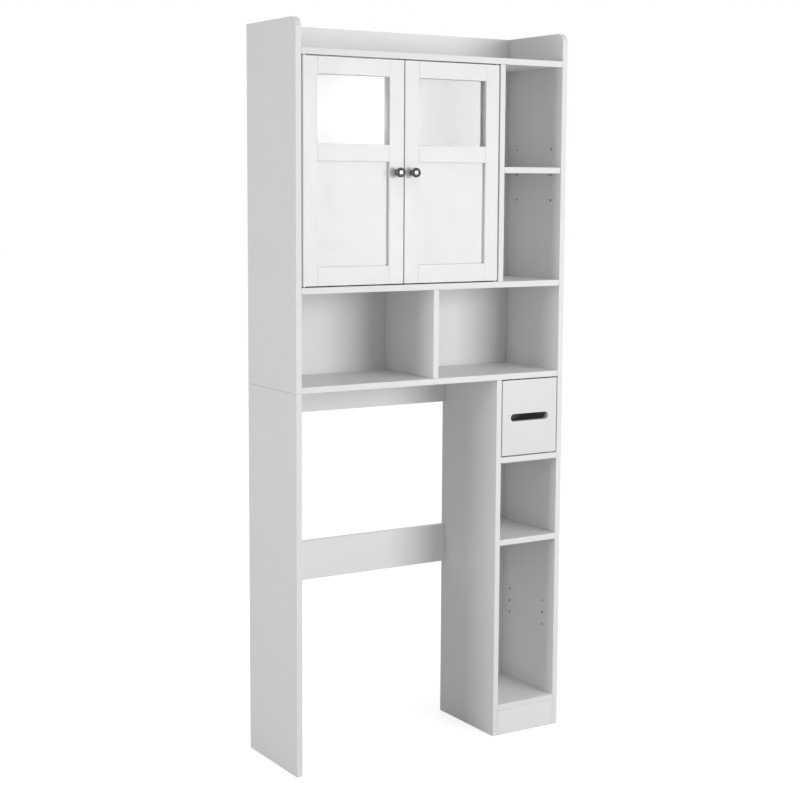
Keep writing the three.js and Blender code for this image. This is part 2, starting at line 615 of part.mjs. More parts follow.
/** The drawer, drawn from the middle of its bay at the front edge of the bay floor. */
function buildDrawer() {
  const drawer = new THREE.Group();
  drawer.position.set(mid(towerBay), rackFront, drawerBay[0]);
  const sideHeights = [DRAWER_FLOOR_GAP, DRAWER_FLOOR_GAP + DRAWER_SIDE_HEIGHT];
  const bottomStart = DRAWER_FLOOR_GAP + DRAWER_BOTTOM_LEVEL;
  const bottomHeights = [bottomStart, bottomStart + BACK_BOARD];
  const bottomX = inset([-sideInnerX - GROOVE_DEPTH, sideInnerX + GROOVE_DEPTH], GROOVE_PLAY);
  const bottomY = [BOARD - GROOVE_DEPTH + GROOVE_PLAY, drawerLength];
  const bottomGroove = block(
    inset(bottomX, -GROOVE_PLAY),
    inset(bottomY, -GROOVE_PLAY),
    inset(bottomHeights, -GROOVE_PLAY),
  );

  const frontHeights = inset([0, DRAWER_BAY_HEIGHT], EDGE_GAP);
  const frontBoard = block([-drawerHalfWidth, drawerHalfWidth], [0, BOARD], frontHeights);
  const slot = prism('y', slotOutline(mid(frontHeights)), [-SEAT_GAP, BOARD + SEAT_GAP]);
  addPiece(drawer, 'drawer_front', cut(frontBoard, [slot, bottomGroove]), DOOR_PAINT);

  const notch = spindleNotch(sideHeights[1]);
  const sides = { left: [-sideOuterX, -sideInnerX], right: [sideInnerX, sideOuterX] };
  for (const [hand, x] of Object.entries(sides)) {
    const board = block(x, drawerBox, sideHeights);
    addPiece(drawer, `drawer_${hand}_side`, cut(board, [bottomGroove, notch]), WHITE_BOARD);
  }

  const backHeights = [bottomHeights[1] + SEAT_GAP, sideHeights[1]];
  const betweenDrawerSides = inset([-sideInnerX, sideInnerX], SEAT_GAP);
  addPiece(drawer, 'drawer_back', block(betweenDrawerSides, drawerBackSpan, backHeights), WHITE_BOARD);
  addPiece(drawer, 'drawer_bottom', block(bottomX, bottomY, bottomHeights), THIN_BOARD);

  addPiece(drawer, 'paper_spindle', spindleSolid(), WHITE_PLASTIC);
  return drawer;
}

/** The finger and paper slot: straight above and below, half round at both ends. */
function slotOutline(level) {
  const endRadius = SLOT_HEIGHT / 2;
  const endX = SLOT_WIDTH / 2 - endRadius;
  const outline = new THREE.Shape();
  outline.moveTo(-endX, level - endRadius);
  outline.lineTo(endX, level - endRadius);
  outline.absarc(endX, level, endRadius, -Math.PI / 2, Math.PI / 2, false);
  outline.lineTo(-endX, level + endRadius);
  outline.absarc(-endX, level, endRadius, Math.PI / 2, Math.PI * 1.5, false);
  return outline;
}

/** The notch in both drawer sides that the spindle drops into from above. */
function spindleNotch(sideTop) {
  const radius = holeRadius(SPINDLE_RADIUS, RUNNING_PLAY, ROUND_SIDES);
  const acrossDrawer = inset([-sideOuterX, sideOuterX], -SEAT_GAP);
  const seat = rod('x', { y: spindleY, z: SPINDLE_LEVEL }, acrossDrawer, radius, ROUND_SIDES);
  const throat = block(
    acrossDrawer,
    [spindleY - radius, spindleY + radius],
    [SPINDLE_LEVEL, sideTop + SEAT_GAP],
  );
  return seat.add(throat);
}

/** A round bar with a collar just inside each drawer side. */
function spindleSolid() {
  const halfLength = sideOuterX - SPINDLE_END_INSET;
  const centre = { y: spindleY, z: SPINDLE_LEVEL };
  const bar = rod('x', centre, [-halfLength, halfLength], SPINDLE_RADIUS, ROUND_SIDES);
  const collarOuter = sideInnerX - COLLAR_PLAY;
  const collarSpans = [
    [-collarOuter, -collarOuter + COLLAR_THICKNESS],
    [collarOuter - COLLAR_THICKNESS, collarOuter],
  ];
  return collarSpans.reduce(
    (solid, span) => solid.add(rod('x', centre, span, COLLAR_RADIUS, ROUND_SIDES)),
    bar,
  );
}

// ---------------------------------------------------------------- The whole rack

const rack = new THREE.Group();
rack.name = 'over_toilet_rack';
rack.add(buildLowerUnit());
rack.add(buildUpperUnit());
rack.add(buildDoor('left_door', 1, leftPivotX));
rack.add(buildDoor('right_door', -1, rightPivotX));
rack.add(buildDrawer());

export default rack;
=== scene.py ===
# %% [markdown]
# # An over the toilet storage rack, finished in Blender
# The frame holds every board, pin and door of the rack at its real size, in metres, with the front towards
# -Y. This lesson gives each of them its finish: eased board edges, a lacquered door frame, turned metal
# knobs, glass. The work goes from the camera and the light to the finishes, and then from the big boards to
# the small fittings.

# %% Load the frame
import json
import math

import bpy
from mathutils import Matrix, Vector

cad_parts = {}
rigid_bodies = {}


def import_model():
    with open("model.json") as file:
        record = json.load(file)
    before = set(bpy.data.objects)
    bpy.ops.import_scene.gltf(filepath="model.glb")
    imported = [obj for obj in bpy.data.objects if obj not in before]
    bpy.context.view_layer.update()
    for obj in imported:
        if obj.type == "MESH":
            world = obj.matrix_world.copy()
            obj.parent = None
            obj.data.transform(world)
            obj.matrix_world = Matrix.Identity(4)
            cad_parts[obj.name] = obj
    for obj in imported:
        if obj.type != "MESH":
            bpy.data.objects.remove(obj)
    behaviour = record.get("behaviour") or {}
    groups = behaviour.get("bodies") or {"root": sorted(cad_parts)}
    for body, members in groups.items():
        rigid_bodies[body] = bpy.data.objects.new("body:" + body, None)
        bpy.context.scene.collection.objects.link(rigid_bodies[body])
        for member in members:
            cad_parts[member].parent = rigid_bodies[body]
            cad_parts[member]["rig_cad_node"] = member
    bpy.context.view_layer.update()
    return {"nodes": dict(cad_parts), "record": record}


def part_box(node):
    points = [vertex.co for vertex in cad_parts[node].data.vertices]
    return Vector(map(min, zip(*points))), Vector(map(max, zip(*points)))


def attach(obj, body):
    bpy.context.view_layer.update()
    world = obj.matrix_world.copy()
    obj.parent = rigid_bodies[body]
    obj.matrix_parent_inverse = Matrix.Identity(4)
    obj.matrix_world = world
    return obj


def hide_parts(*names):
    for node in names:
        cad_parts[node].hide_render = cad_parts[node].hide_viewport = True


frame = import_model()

MM = 0.001
HAIR = 0.001 * MM  # the length of a step in an outline that should look sudden
THAT_WAY = 0.9  # a face looks along an axis if its normal reaches this far along it
body_of = {}
for body_name, node_names in frame["record"]["behaviour"]["bodies"].items():
    for node_name in node_names:
        body_of[node_name] = body_name
slot_of = {entry["node"]: entry["material_slot"] for entry in frame["record"]["subparts"]}

# %% [markdown]
# The camera comes first. A tall, narrow piece of furniture is shot from its left front corner with a
# longish lens, about level with the doors, so that the uprights stay almost parallel. The camera looks down
# a little, and a small vertical shift takes some of the tilt away, as a view camera does.

# %% Camera
EYE = Vector((-2.1726, -3.4453, 1.4168))
HEADING = 0.55534  # turned to the right of straight ahead, in radians
LOOK_DOWN = 0.11679
ROLL = 0.00519
LENS = 73.16
FILM_WIDTH = 36
VERTICAL_SHIFT = -0.03

camera_data = bpy.data.cameras.new("camera")
camera_data.lens = LENS
camera_data.sensor_width = FILM_WIDTH
camera_data.shift_y = VERTICAL_SHIFT
camera = bpy.data.objects.new("camera", camera_data)
bpy.context.scene.collection.objects.link(camera)
turn = Matrix.Rotation(-HEADING, 4, "Z") @ Matrix.Rotation(math.pi / 2 - LOOK_DOWN, 4, "X")
camera.matrix_world = Matrix.Translation(EYE) @ turn @ Matrix.Rotation(ROLL, 4, "Z")
bpy.context.scene.camera = camera
print("camera at", tuple(round(v, 3) for v in EYE))

# %% [markdown]
# White furniture on a white ground is lit softly, or it loses its edges. One large softbox stands at the
# front right. It makes the fronts the brightest faces, and it is what the glass and the knobs mirror. A
# smaller softbox far out on the left opens up the outer left side but hardly reaches the insides. A weak
# light from above reaches the shelves, and one from behind keeps the rear readable. The room adds only a
# little, so the bays stay in shade.

# %% Softbox
SOFTBOX_PLACE = Vector((1.8, -4.0, 1.5))
SOFTBOX_SIZE = (2.3, 1.85)
SOFTBOX_POWER = 104
RACK_MIDDLE = Vector((0.0, 0.0, 1.0))

scene = bpy.context.scene
scene.view_settings.view_transform = "Standard"


def aim(light, towards):
    """Turns a light to shine on the rack; towards is the direction from the rack to the light."""
    light.rotation_euler = Vector(towards).to_track_quat("Z", "Y").to_euler()


def add_softbox(name, place, size, power):
    """A rectangular light that faces the middle of the rack and isn't seen itself."""
    data = bpy.data.lights.new(name, "AREA")
    data.shape = "RECTANGLE"
    data.size, data.size_y = size
    data.energy = power
    light = bpy.data.objects.new(name, data)
    scene.collection.objects.link(light)
    light.location = place
    light.visible_camera = False
    aim(light, place - RACK_MIDDLE)
    return light


add_softbox("softbox", SOFTBOX_PLACE, SOFTBOX_SIZE, SOFTBOX_POWER)
print("softbox", SOFTBOX_SIZE, "m")

# %% Fill lights
SIDE_PLACE = Vector((-4.2, -0.45, 1.4))
SIDE_SIZE = (1.1, 1.1)
SIDE_POWER = 56
TOP_STRENGTH = 0.9
TOP_SOFTNESS = 120
TOP_FROM = (0.1, -0.2, 1.0)
REAR_STRENGTH = 0.8
REAR_SOFTNESS = 60
REAR_FROM = (0.3, 1.0, 0.5)


def add_fill(name, strength, softness, towards):
    """A soft distant light; softness is the angle it spans in the sky, in degrees."""
    data = bpy.data.lights.new(name, "SUN")
    data.energy = strength
    data.angle = math.radians(softness)
    light = bpy.data.objects.new(name, data)
    scene.collection.objects.link(light)
    aim(light, towards)
    return light


add_softbox("side_softbox", SIDE_PLACE, SIDE_SIZE, SIDE_POWER)
add_fill("top_fill", TOP_STRENGTH, TOP_SOFTNESS, TOP_FROM)
add_fill("rear_fill", REAR_STRENGTH, REAR_SOFTNESS, REAR_FROM)

# %% Room light
ROOM_STRENGTH = 0.25

world = bpy.data.worlds.new("room")
world.use_nodes = True
scene.world = world
room_nodes = world.node_tree.nodes
room_links = world.node_tree.links
room_nodes.clear()
room_output = room_nodes.new("ShaderNodeOutputWorld")
seen_room = room_nodes.new("ShaderNodeBackground")
seen_room.inputs["Color"].default_value = (1.0, 1.0, 1.0, 1.0)
seen_room.inputs["Strength"].default_value = 1.0
lit_room = room_nodes.new("ShaderNodeBackground")
lit_room.inputs["Color"].default_value = (1.0, 1.0, 0.99, 1.0)
lit_room.inputs["Strength"].default_value = ROOM_STRENGTH
choose_room = room_nodes.new("ShaderNodeMixShader")
ray_kind = room_nodes.new("ShaderNodeLightPath")
room_links.new(ray_kind.outputs["Is Camera Ray"], choose_room.inputs["Fac"])
room_links.new(lit_room.outputs["Background"], choose_room.inputs[1])
room_links.new(seen_room.outputs["Background"], choose_room.inputs[2])
room_links.new(choose_room.outputs["Shader"], room_output.inputs["Surface"])
print("room light:", ROOM_STRENGTH)

# %% [markdown]
# The floor is a wide, plain sheet just under the feet. It is stage and not part of the rack. Its own glow,
# which only the camera sees, makes it melt into the white background, and its matt grey-white coat still
# takes the soft contact shadow that stands the rack on the ground. The coat is only mid grey, so that it
# lights the rack gently from below.

# %% Floor
FLOOR_SIZE = 60
FLOOR_DROP = 0.5 * MM  # the floor lies this far under the feet
FLOOR_GLOW = 0.68
FLOOR_TONE = 0.52


def deselect_all():
    bpy.ops.object.select_all(action="DESELECT")


deselect_all()
bpy.ops.mesh.primitive_plane_add(size=FLOOR_SIZE, location=(0, 0, -FLOOR_DROP))
floor = bpy.context.object
floor.name = "floor"
floor_finish = bpy.data.materials.new("pale_floor")
floor_finish.use_nodes = True
floor_nodes = floor_finish.node_tree.nodes
floor_links = floor_finish.node_tree.links
floor_nodes.clear()
floor_output = floor_nodes.new("ShaderNodeOutputMaterial")
floor_coat = floor_nodes.new("ShaderNodeBsdfDiffuse")
floor_coat.inputs["Color"].default_value = (FLOOR_TONE, FLOOR_TONE, FLOOR_TONE, 1.0)
floor_glow = floor_nodes.new("ShaderNodeEmission")
floor_glow.inputs["Strength"].default_value = FLOOR_GLOW
floor_both = floor_nodes.new("ShaderNodeAddShader")
floor_choose = floor_nodes.new("ShaderNodeMixShader")
floor_ray = floor_nodes.new("ShaderNodeLightPath")
floor_links.new(floor_coat.outputs["BSDF"], floor_both.inputs[0])
floor_links.new(floor_glow.outputs["Emission"], floor_both.inputs[1])
floor_links.new(floor_ray.outputs["Is Camera Ray"], floor_choose.inputs["Fac"])
floor_links.new(floor_coat.outputs["BSDF"], floor_choose.inputs[1])
floor_links.new(floor_both.outputs["Shader"], floor_choose.inputs[2])
floor_links.new(floor_choose.outputs["Shader"], floor_output.inputs["Surface"])
floor.data.materials.append(floor_finish)
print("floor:", tuple(floor.dimensions))

# %% [markdown]
# ## Finishes
# Each finish is a Principled shader with a few noise patterns in Object coordinates, so that a pattern has
# the same size on every piece and stays on its piece when a door or the drawer moves. The patterns are at
# their real scale: the pebbled skin of a coated board is about a millimetre wide and hundredths of a
# millimetre high.

# %% Helpers for finishes
NOISE_LOW, NOISE_HIGH = 0.3, 0.7  # nearly all of a noise lies between these
TONE_LOW, TONE_HIGH = 0.35, 0.65  # a little tighter, so that both tones are reached


def new_finish(name):
    """A material with its Principled shader; returns the material and the tools to build on it."""
    finish = bpy.data.materials.new(name)
    finish.use_nodes = True
    return finish, finish.node_tree.nodes, finish.node_tree.links


def noise_pattern(nodes, links, feature, detail=2.0, stretch=(1.0, 1.0, 1.0)):
    """A noise with blobs about feature metres wide, drawn out along an axis whose stretch is below 1."""
    place = nodes.new("ShaderNodeTexCoord")
    mapping = nodes.new("ShaderNodeMapping")
    mapping.inputs["Scale"].default_value = stretch
    noise = nodes.new("ShaderNodeTexNoise")
    noise.inputs["Scale"].default_value = 1.0 / feature
    noise.inputs["Detail"].default_value = detail
    links.new(place.outputs["Object"], mapping.inputs["Vector"])
    links.new(mapping.outputs["Vector"], noise.inputs["Vector"])
    return noise.outputs["Fac"]


def spread(nodes, links, pattern, low, high):
    """Turns a pattern into numbers from low to high."""
    span = nodes.new("ShaderNodeMapRange")
    span.inputs["From Min"].default_value = NOISE_LOW
    span.inputs["From Max"].default_value = NOISE_HIGH
    span.inputs["To Min"].default_value = low
    span.inputs["To Max"].default_value = high
    links.new(pattern, span.inputs["Value"])
    return span.outputs["Result"]


def blend_tones(nodes, links, pattern, dark, light):
    """Turns a pattern into colours between two tones."""
    ramp = nodes.new("ShaderNodeValToRGB")
    ramp.color_ramp.elements[0].position = TONE_LOW
    ramp.color_ramp.elements[0].color = (*dark, 1.0)
    ramp.color_ramp.elements[1].position = TONE_HIGH
    ramp.color_ramp.elements[1].color = (*light, 1.0)
    links.new(pattern, ramp.inputs["Fac"])
    return ramp.outputs["Color"]


def raise_surface(nodes, links, pattern, height, strength=1.0):
    """A bump of the given height in metres on the Principled shader."""
    bump = nodes.new("ShaderNodeBump")
    bump.inputs["Strength"].default_value = strength
    bump.inputs["Distance"].default_value = height
    links.new(pattern, bump.inputs["Height"])
    links.new(bump.outputs["Normal"], nodes["Principled BSDF"].inputs["Normal"])
    return bump


# %% A coated white surface
SLOW_DRIFT = 160 * MM  # the size of the slow changes in tone
HANDLING = 35 * MM  # the size of the patches that hands leave in the gloss


def coated_white(name, tone, warmth, gloss, pebble, pebble_height, drift=0.015):
    """A white coat: tone is its brightness, gloss its roughness range, pebble the grain of its skin."""
    finish, nodes, links = new_finish(name)
    shader = nodes["Principled BSDF"]
    slow = noise_pattern(nodes, links, SLOW_DRIFT, detail=3.0)
    light = (tone, tone, tone * warmth)
    dark = tuple(part * (1.0 - drift) for part in light)
    links.new(blend_tones(nodes, links, slow, dark, light), shader.inputs["Base Color"])
    handling = noise_pattern(nodes, links, HANDLING, detail=4.0)
    links.new(spread(nodes, links, handling, *gloss), shader.inputs["Roughness"])
    skin = noise_pattern(nodes, links, pebble, detail=2.0)
    raise_surface(nodes, links, skin, pebble_height)
    return finish


# %% [markdown]
# Four white coats cover most of the rack, and side by side they differ a little. The boards carry a
# melamine paper with a fine pearl texture. Their edges carry a thin plastic tape, less textured and a shade
# darker. The doors and the drawer front are sprayed with lacquer, which dries with a soft orange peel. The
# moulded plastic fittings are glossier.

# %% White coats
BOARD_TONE = 0.81
TAPE_TONE = BOARD_TONE - 0.02
LACQUER_TONE = 0.75
PLASTIC_TONE = 0.84

melamine = coated_white("melamine_face", BOARD_TONE, 0.992, (0.42, 0.52), 0.9 * MM, 0.02 * MM)
edge_tape = coated_white("edge_tape", TAPE_TONE, 0.995, (0.46, 0.54), 2.5 * MM, 0.008 * MM)
lacquer = coated_white("sprayed_lacquer", LACQUER_TONE, 0.996, (0.30, 0.38), 2.2 * MM, 0.02 * MM)
moulded_white = coated_white("moulded_plastic", PLASTIC_TONE, 0.98, (0.28, 0.36), 0.6 * MM, 0.008 * MM)
print("white coats:", [m.name for m in (melamine, edge_tape, lacquer, moulded_white)])

# %% [markdown]
# Where a drill or a saw has opened a board, the chipboard inside shows: pressed wood chips in browns,
# painted darker than bare chipboard as painted shade for the depth of holes and grooves.
# The thin back boards are hardboard, with white foil on the front and bare brown fibre on the rear.

# %% Raw board
PATCH = 60 * MM
PATCH_SHARE = 0.3
DULLING = 0.08  # how much duller the roughest chips are


def raw_board(name, dark, light, chip, roughness, height):
    """Bare wood board: chips or fibres of two tones over slow patches, rough to the touch."""
    finish, nodes, links = new_finish(name)
    shader = nodes["Principled BSDF"]
    chips = noise_pattern(nodes, links, chip, detail=6.0)
    patches = noise_pattern(nodes, links, PATCH, detail=5.0)
    both = nodes.new("ShaderNodeMix")
    both.inputs["Factor"].default_value = PATCH_SHARE
    links.new(chips, both.inputs["A"])
    links.new(patches, both.inputs["B"])
    mottle = both.outputs["Result"]
    links.new(blend_tones(nodes, links, mottle, dark, light), shader.inputs["Base Color"])
    links.new(spread(nodes, links, chips, roughness, roughness + DULLING), shader.inputs["Roughness"])
    raise_surface(nodes, links, chips, height)
    return finish


# The chip tones are darker than bare chipboard: painted shade for the dark insides of pin holes and grooves.
CHIP_AND_SHADE_DARK, CHIP_AND_SHADE_LIGHT = (0.07, 0.042, 0.024), (0.22, 0.15, 0.09)
FIBRE_DARK, FIBRE_LIGHT = (0.30, 0.20, 0.12), (0.47, 0.34, 0.22)
FOIL_TONE = 0.79

chipboard = raw_board("chipboard_and_painted_shade", CHIP_AND_SHADE_DARK, CHIP_AND_SHADE_LIGHT, 2.4 * MM, 0.8, 0.15 * MM)
hardboard = raw_board("raw_hardboard", FIBRE_DARK, FIBRE_LIGHT, 1.3 * MM, 0.72, 0.06 * MM)
foil = coated_white("back_foil", FOIL_TONE, 0.985, (0.48, 0.58), 1.6 * MM, 0.015 * MM)
print("raw boards:", chipboard.name, hardboard.name, "and", foil.name)

# %% [markdown]
# The metal is of two kinds. The knobs are cast, polished and nickel plated with a dark bath, so they mirror
# the room in a deep grey. The pins, screws and plates are plain zinc plated steel, duller and slightly
# blotched. Hairline scratches are a bump far too fine to see one by one; they only soften the mirror.

# %% Metals
SCRATCH = 0.25 * MM
SCRATCH_STRETCH = (1.0, 0.3, 0.12)


def plated_metal(name, dark, light, gloss, patch, scratch_height):
    """Plated metal with soft patches of tone and gloss and hairline scratches."""
    finish, nodes, links = new_finish(name)
    shader = nodes["Principled BSDF"]
    shader.inputs["Metallic"].default_value = 1.0
    patches = noise_pattern(nodes, links, patch, detail=3.0)
    links.new(blend_tones(nodes, links, patches, dark, light), shader.inputs["Base Color"])
    links.new(spread(nodes, links, patches, *gloss), shader.inputs["Roughness"])
    scratches = noise_pattern(nodes, links, SCRATCH, detail=1.0, stretch=SCRATCH_STRETCH)
    raise_surface(nodes, links, scratches, scratch_height)
    return finish


NICKEL_DARK, NICKEL_LIGHT = (0.15, 0.145, 0.14), (0.19, 0.185, 0.18)
ZINC_DARK, ZINC_LIGHT = (0.50, 0.51, 0.53), (0.62, 0.63, 0.65)

dark_nickel = plated_metal("dark_nickel", NICKEL_DARK, NICKEL_LIGHT, (0.08, 0.13), 6 * MM, 0.002 * MM)
zinc = plated_metal("zinc_plate", ZINC_DARK, ZINC_LIGHT, (0.30, 0.42), 2.5 * MM, 0.008 * MM)
print("metals:", dark_nickel.name, zinc.name)

# %% Magnet
FERRITE_DARK, FERRITE_LIGHT = (0.03, 0.03, 0.032), (0.07, 0.07, 0.072)
FERRITE_GRAIN = 0.8 * MM


def magnet_finish():
    """Sintered ferrite: almost black, dull and a little grainy."""
    finish, nodes, links = new_finish("ferrite_magnet")
    shader = nodes["Principled BSDF"]
    grains = noise_pattern(nodes, links, FERRITE_GRAIN, detail=4.0)
    tone = blend_tones(nodes, links, grains, FERRITE_DARK, FERRITE_LIGHT)
    links.new(tone, shader.inputs["Base Color"])
    links.new(spread(nodes, links, grains, 0.5, 0.65), shader.inputs["Roughness"])
    raise_surface(nodes, links, grains, 0.03 * MM)
    return finish


ferrite = magnet_finish()
print("magnet:", ferrite.name)

# %% [markdown]
# The panes are 3 mm float glass. A transmission shader bends and mirrors the light as glass does, and a
# see-through shader takes its place for shadow rays only, so that the softbox still lights the cabinet
# behind the panes. A very faint, slow ripple keeps the reflection from being perfect.

# %% Glass
GLASS_TINT = (0.98, 0.99, 0.985, 1.0)
LET_THROUGH = (0.91, 0.92, 0.915, 1.0)
GLASS_IOR = 1.5
SMEAR = 40 * MM
SMEAR_ROUGHNESS = 0.03
RIPPLE = 60 * MM
RIPPLE_HEIGHT = 0.01 * MM


def pane_glass():
    """Clear float glass, very slightly green, that lets lamps through."""
    finish, nodes, links = new_finish("float_glass")
    shader = nodes["Principled BSDF"]
    shader.inputs["Base Color"].default_value = GLASS_TINT
    shader.inputs["Transmission Weight"].default_value = 1.0
    shader.inputs["IOR"].default_value = GLASS_IOR
    smears = noise_pattern(nodes, links, SMEAR, detail=3.0)
    links.new(spread(nodes, links, smears, 0.0, SMEAR_ROUGHNESS), shader.inputs["Roughness"])
    ripple = noise_pattern(nodes, links, RIPPLE, detail=0.0)
    raise_surface(nodes, links, ripple, RIPPLE_HEIGHT)
    clear = nodes.new("ShaderNodeBsdfTransparent")
    clear.inputs["Color"].default_value = LET_THROUGH
    ray = nodes.new("ShaderNodeLightPath")
    choose = nodes.new("ShaderNodeMixShader")
    links.new(ray.outputs["Is Shadow Ray"], choose.inputs["Fac"])
    links.new(shader.outputs["BSDF"], choose.inputs[1])
    links.new(clear.outputs["BSDF"], choose.inputs[2])
    links.new(choose.outputs["Shader"], nodes["Material Output"].inputs["Surface"])
    return finish


glass = pane_glass()
print("glass:", glass.name)

# %% [markdown]
# ## Boards
# A board in the frame is exact but sharp, and no real board is: its taped edges are rounded by less than a
# millimetre, and that thin line of light is what makes a white edge readable against a white face. It could
# be faked with a bevel in the shader, but real geometry also holds up from close by and stays in the mesh.
# So each board is copied, its triangles are merged into clean faces, its edges are eased, and it gets its
# finishes.

# %% Copy a piece of the frame
SAME_POINT = 0.005 * MM
FLAT_ANGLE = math.radians(1.0)  # faces that differ less than this are one face
SHARP_ANGLE = math.radians(35)  # edges sharper than this are eased
SMOOTH_ANGLE = math.radians(50)  # edges sharper than this stay crisp in the shading


def finished_copy(node):
    """A copy of a frame node as an object of its own, merged into clean flat faces."""
    deselect_all()
    source = frame["nodes"][node]
    source.select_set(True)
    bpy.context.view_layer.objects.active = source
    bpy.ops.object.duplicate()
    piece = bpy.context.object
    del piece["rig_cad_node"]
    piece.parent = None
    piece.name = "finished_" + node
    piece.data.name = piece.name
    piece.data.materials.clear()
    bpy.ops.object.mode_set(mode="EDIT")
    bpy.ops.mesh.select_all(action="SELECT")
    bpy.ops.mesh.remove_doubles(threshold=SAME_POINT)
    bpy.ops.mesh.dissolve_limited(angle_limit=FLAT_ANGLE)
    bpy.ops.mesh.normals_make_consistent(inside=False)
    bpy.ops.mesh.customdata_custom_splitnormals_clear()
    bpy.ops.object.mode_set(mode="OBJECT")
    return piece


def apply_modifier(piece, modifier):
    bpy.context.view_layer.objects.active = piece
    bpy.ops.object.modifier_apply(modifier=modifier.name)


def ease_edges(piece, width, segments=2, sharp_faces=()):
    """Rounds every sharp edge of a piece by width, except the edges of the faces numbered in sharp_faces."""
    kept_sharp = set()
    for number in sharp_faces:
        kept_sharp.update(piece.data.polygons[number].edge_keys)
    bpy.context.view_layer.objects.active = piece
    bpy.ops.object.mode_set(mode="EDIT")
    bpy.ops.mesh.select_mode(type="EDGE")
    bpy.ops.mesh.select_all(action="DESELECT")
    bpy.ops.mesh.edges_select_sharp(sharpness=SHARP_ANGLE)
    bpy.ops.object.mode_set(mode="OBJECT")
    for polygon in piece.data.polygons:
        polygon.select = False  # a selected face would select its edges again
    for edge in piece.data.edges:
        edge.select = edge.select and edge.key not in kept_sharp
    bpy.ops.object.mode_set(mode="EDIT")
    bpy.ops.mesh.bevel(offset=width, segments=segments)
    bpy.ops.object.mode_set(mode="OBJECT")


def smooth_shading(piece):
    """Shades curves smooth and keeps flat faces flat."""
    deselect_all()
    piece.select_set(True)
    bpy.context.view_layer.objects.active = piece
    bpy.ops.object.shade_smooth_by_angle(angle=SMOOTH_ANGLE)
    level = piece.modifiers.new("flat_faces", "WEIGHTED_NORMAL")
    level.keep_sharp = True
    apply_modifier(piece, level)


def stand_for(piece, node):
    """The piece takes the place of a frame node, on the same body, and the node is hidden."""
    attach(piece, body_of[node])
    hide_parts(node)


# %% [markdown]
# A board's faces aren't all the same. The two wide faces carry the melamine, the narrow outer faces carry
# the tape, and what is cut into the board, such as a groove or a pin hole, shows raw chipboard, darkened
# with painted shade. The script tells them apart as an eye would: by which way a face points, and by whether
# it looks straight at another wall of the same board.

# %% Sort the faces of a board
FACE, EDGE, CORE = 0, 1, 2
LOOK_STEP = 0.02 * MM
OFF_CENTRE = 0.1  # of the way from a face's middle to its corner
SURFACE_PLAY = 0.3 * MM  # a wide face deeper than this is the bottom of a cut
FACES_AXIS, LEANS_TO_AXIS = 0.98, 0.2  # how far a normal must point along the thin axis


def thin_axis(node):
    low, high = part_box(node)
    extent = high - low
    return min(range(3), key=lambda axis: extent[axis])


def looks_at_wall(piece, polygon):
    """True if a face looks straight at a wall of its own piece, as the walls of a hole or groove do."""
    corner = piece.data.vertices[polygon.vertices[0]].co
    # A ray through the exact middle of a face can slip along an edge.
    off_centre = polygon.center.lerp(corner, OFF_CENTRE)
    return piece.ray_cast(off_centre + polygon.normal * LOOK_STEP, polygon.normal)[0]


def kind_of_face(piece, polygon, axis, low, high):
    """Tells a wide face from an edge and from a cut that opens the core."""
    facing = abs(polygon.normal[axis])
    if facing > FACES_AXIS:
        place = polygon.center[axis]
        off_surface = min(abs(place - low[axis]), abs(place - high[axis]))
        return CORE if off_surface > SURFACE_PLAY else FACE
    if facing > LEANS_TO_AXIS:
        return EDGE
    return CORE if looks_at_wall(piece, polygon) else EDGE


def finish_board(piece, node, face, edge, core):
    """Gives a board its three finishes."""
    for material in (face, edge, core):
        piece.data.materials.append(material)
    axis = thin_axis(node)
    low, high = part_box(node)
    bpy.context.view_layer.update()
    for polygon in piece.data.polygons:
        polygon.material_index = kind_of_face(piece, polygon, axis, low, high)


# %% Coated boards
BOARD_EDGE = 0.7 * MM

coated_boards = [node for node, slot in slot_of.items() if slot == "white_board"]
for node in coated_boards:
    board = finished_copy(node)
    finish_board(board, node, melamine, edge_tape, chipboard)
    cuts = [polygon.index for polygon in board.data.polygons if polygon.material_index == CORE]
    ease_edges(board, BOARD_EDGE, sharp_faces=cuts)
    smooth_shading(board)
    stand_for(board, node)
print("coated boards:", len(coated_boards))

# %% [markdown]
# The back boards and the drawer bottom are thin hardboard. Their white foil faces the user, so it is on the
# front of a back board and on the top of the drawer bottom; everything else on them is bare fibre.

# %% Thin boards
THIN_EDGE = 0.3 * MM
FRONT = Vector((0, -1, 0))
UP = Vector((0, 0, 1))
shown_side = {"upper_back_panel": FRONT, "tower_back_panel": FRONT, "drawer_bottom": UP}

for node, towards_user in shown_side.items():
    board = finished_copy(node)
    for material in (foil, hardboard):
        board.data.materials.append(material)
    for polygon in board.data.polygons:
        polygon.material_index = 0 if polygon.normal.dot(towards_user) > THAT_WAY else 1
    ease_edges(board, THIN_EDGE)
    smooth_shading(board)
    stand_for(board, node)
print("thin boards:", len(shown_side))

# %% [markdown]
# ## Doors and drawer front
# Stiles, rails, panels and the drawer front are milled from fibreboard, sanded and then sprayed, so one
# coat covers faces and edges alike. The fine line where a rail meets a stile stays visible, because each
# piece keeps its own eased edge there. The mortises stay sharp, as a cutter leaves them; only the slot in
# the drawer front is eased.

# %% Lacquered pieces
LACQUER_EDGE = 0.5 * MM

lacquered = [node for node, slot in slot_of.items() if slot == "door_paint"]
for node in lacquered:
    piece = finished_copy(node)
    piece.data.materials.append(lacquer)
    bpy.context.view_layer.update()
    mortises = [polygon.index for polygon in piece.data.polygons if looks_at_wall(piece, polygon)]
    ease_edges(piece, LACQUER_EDGE, sharp_faces=() if node == "drawer_front" else mortises)
    smooth_shading(piece)
    stand_for(piece, node)
print("lacquered pieces:", len(lacquered))

# %% Panes
PANE_EDGE = 0.4 * MM

panes = [node for node, slot in slot_of.items() if slot == "clear_glass"]
for node in panes:
    pane = finished_copy(node)
    pane.data.materials.append(glass)
    ease_edges(pane, PANE_EDGE, segments=1)
    smooth_shading(pane)
    stand_for(pane, node)
print("panes:", len(panes))

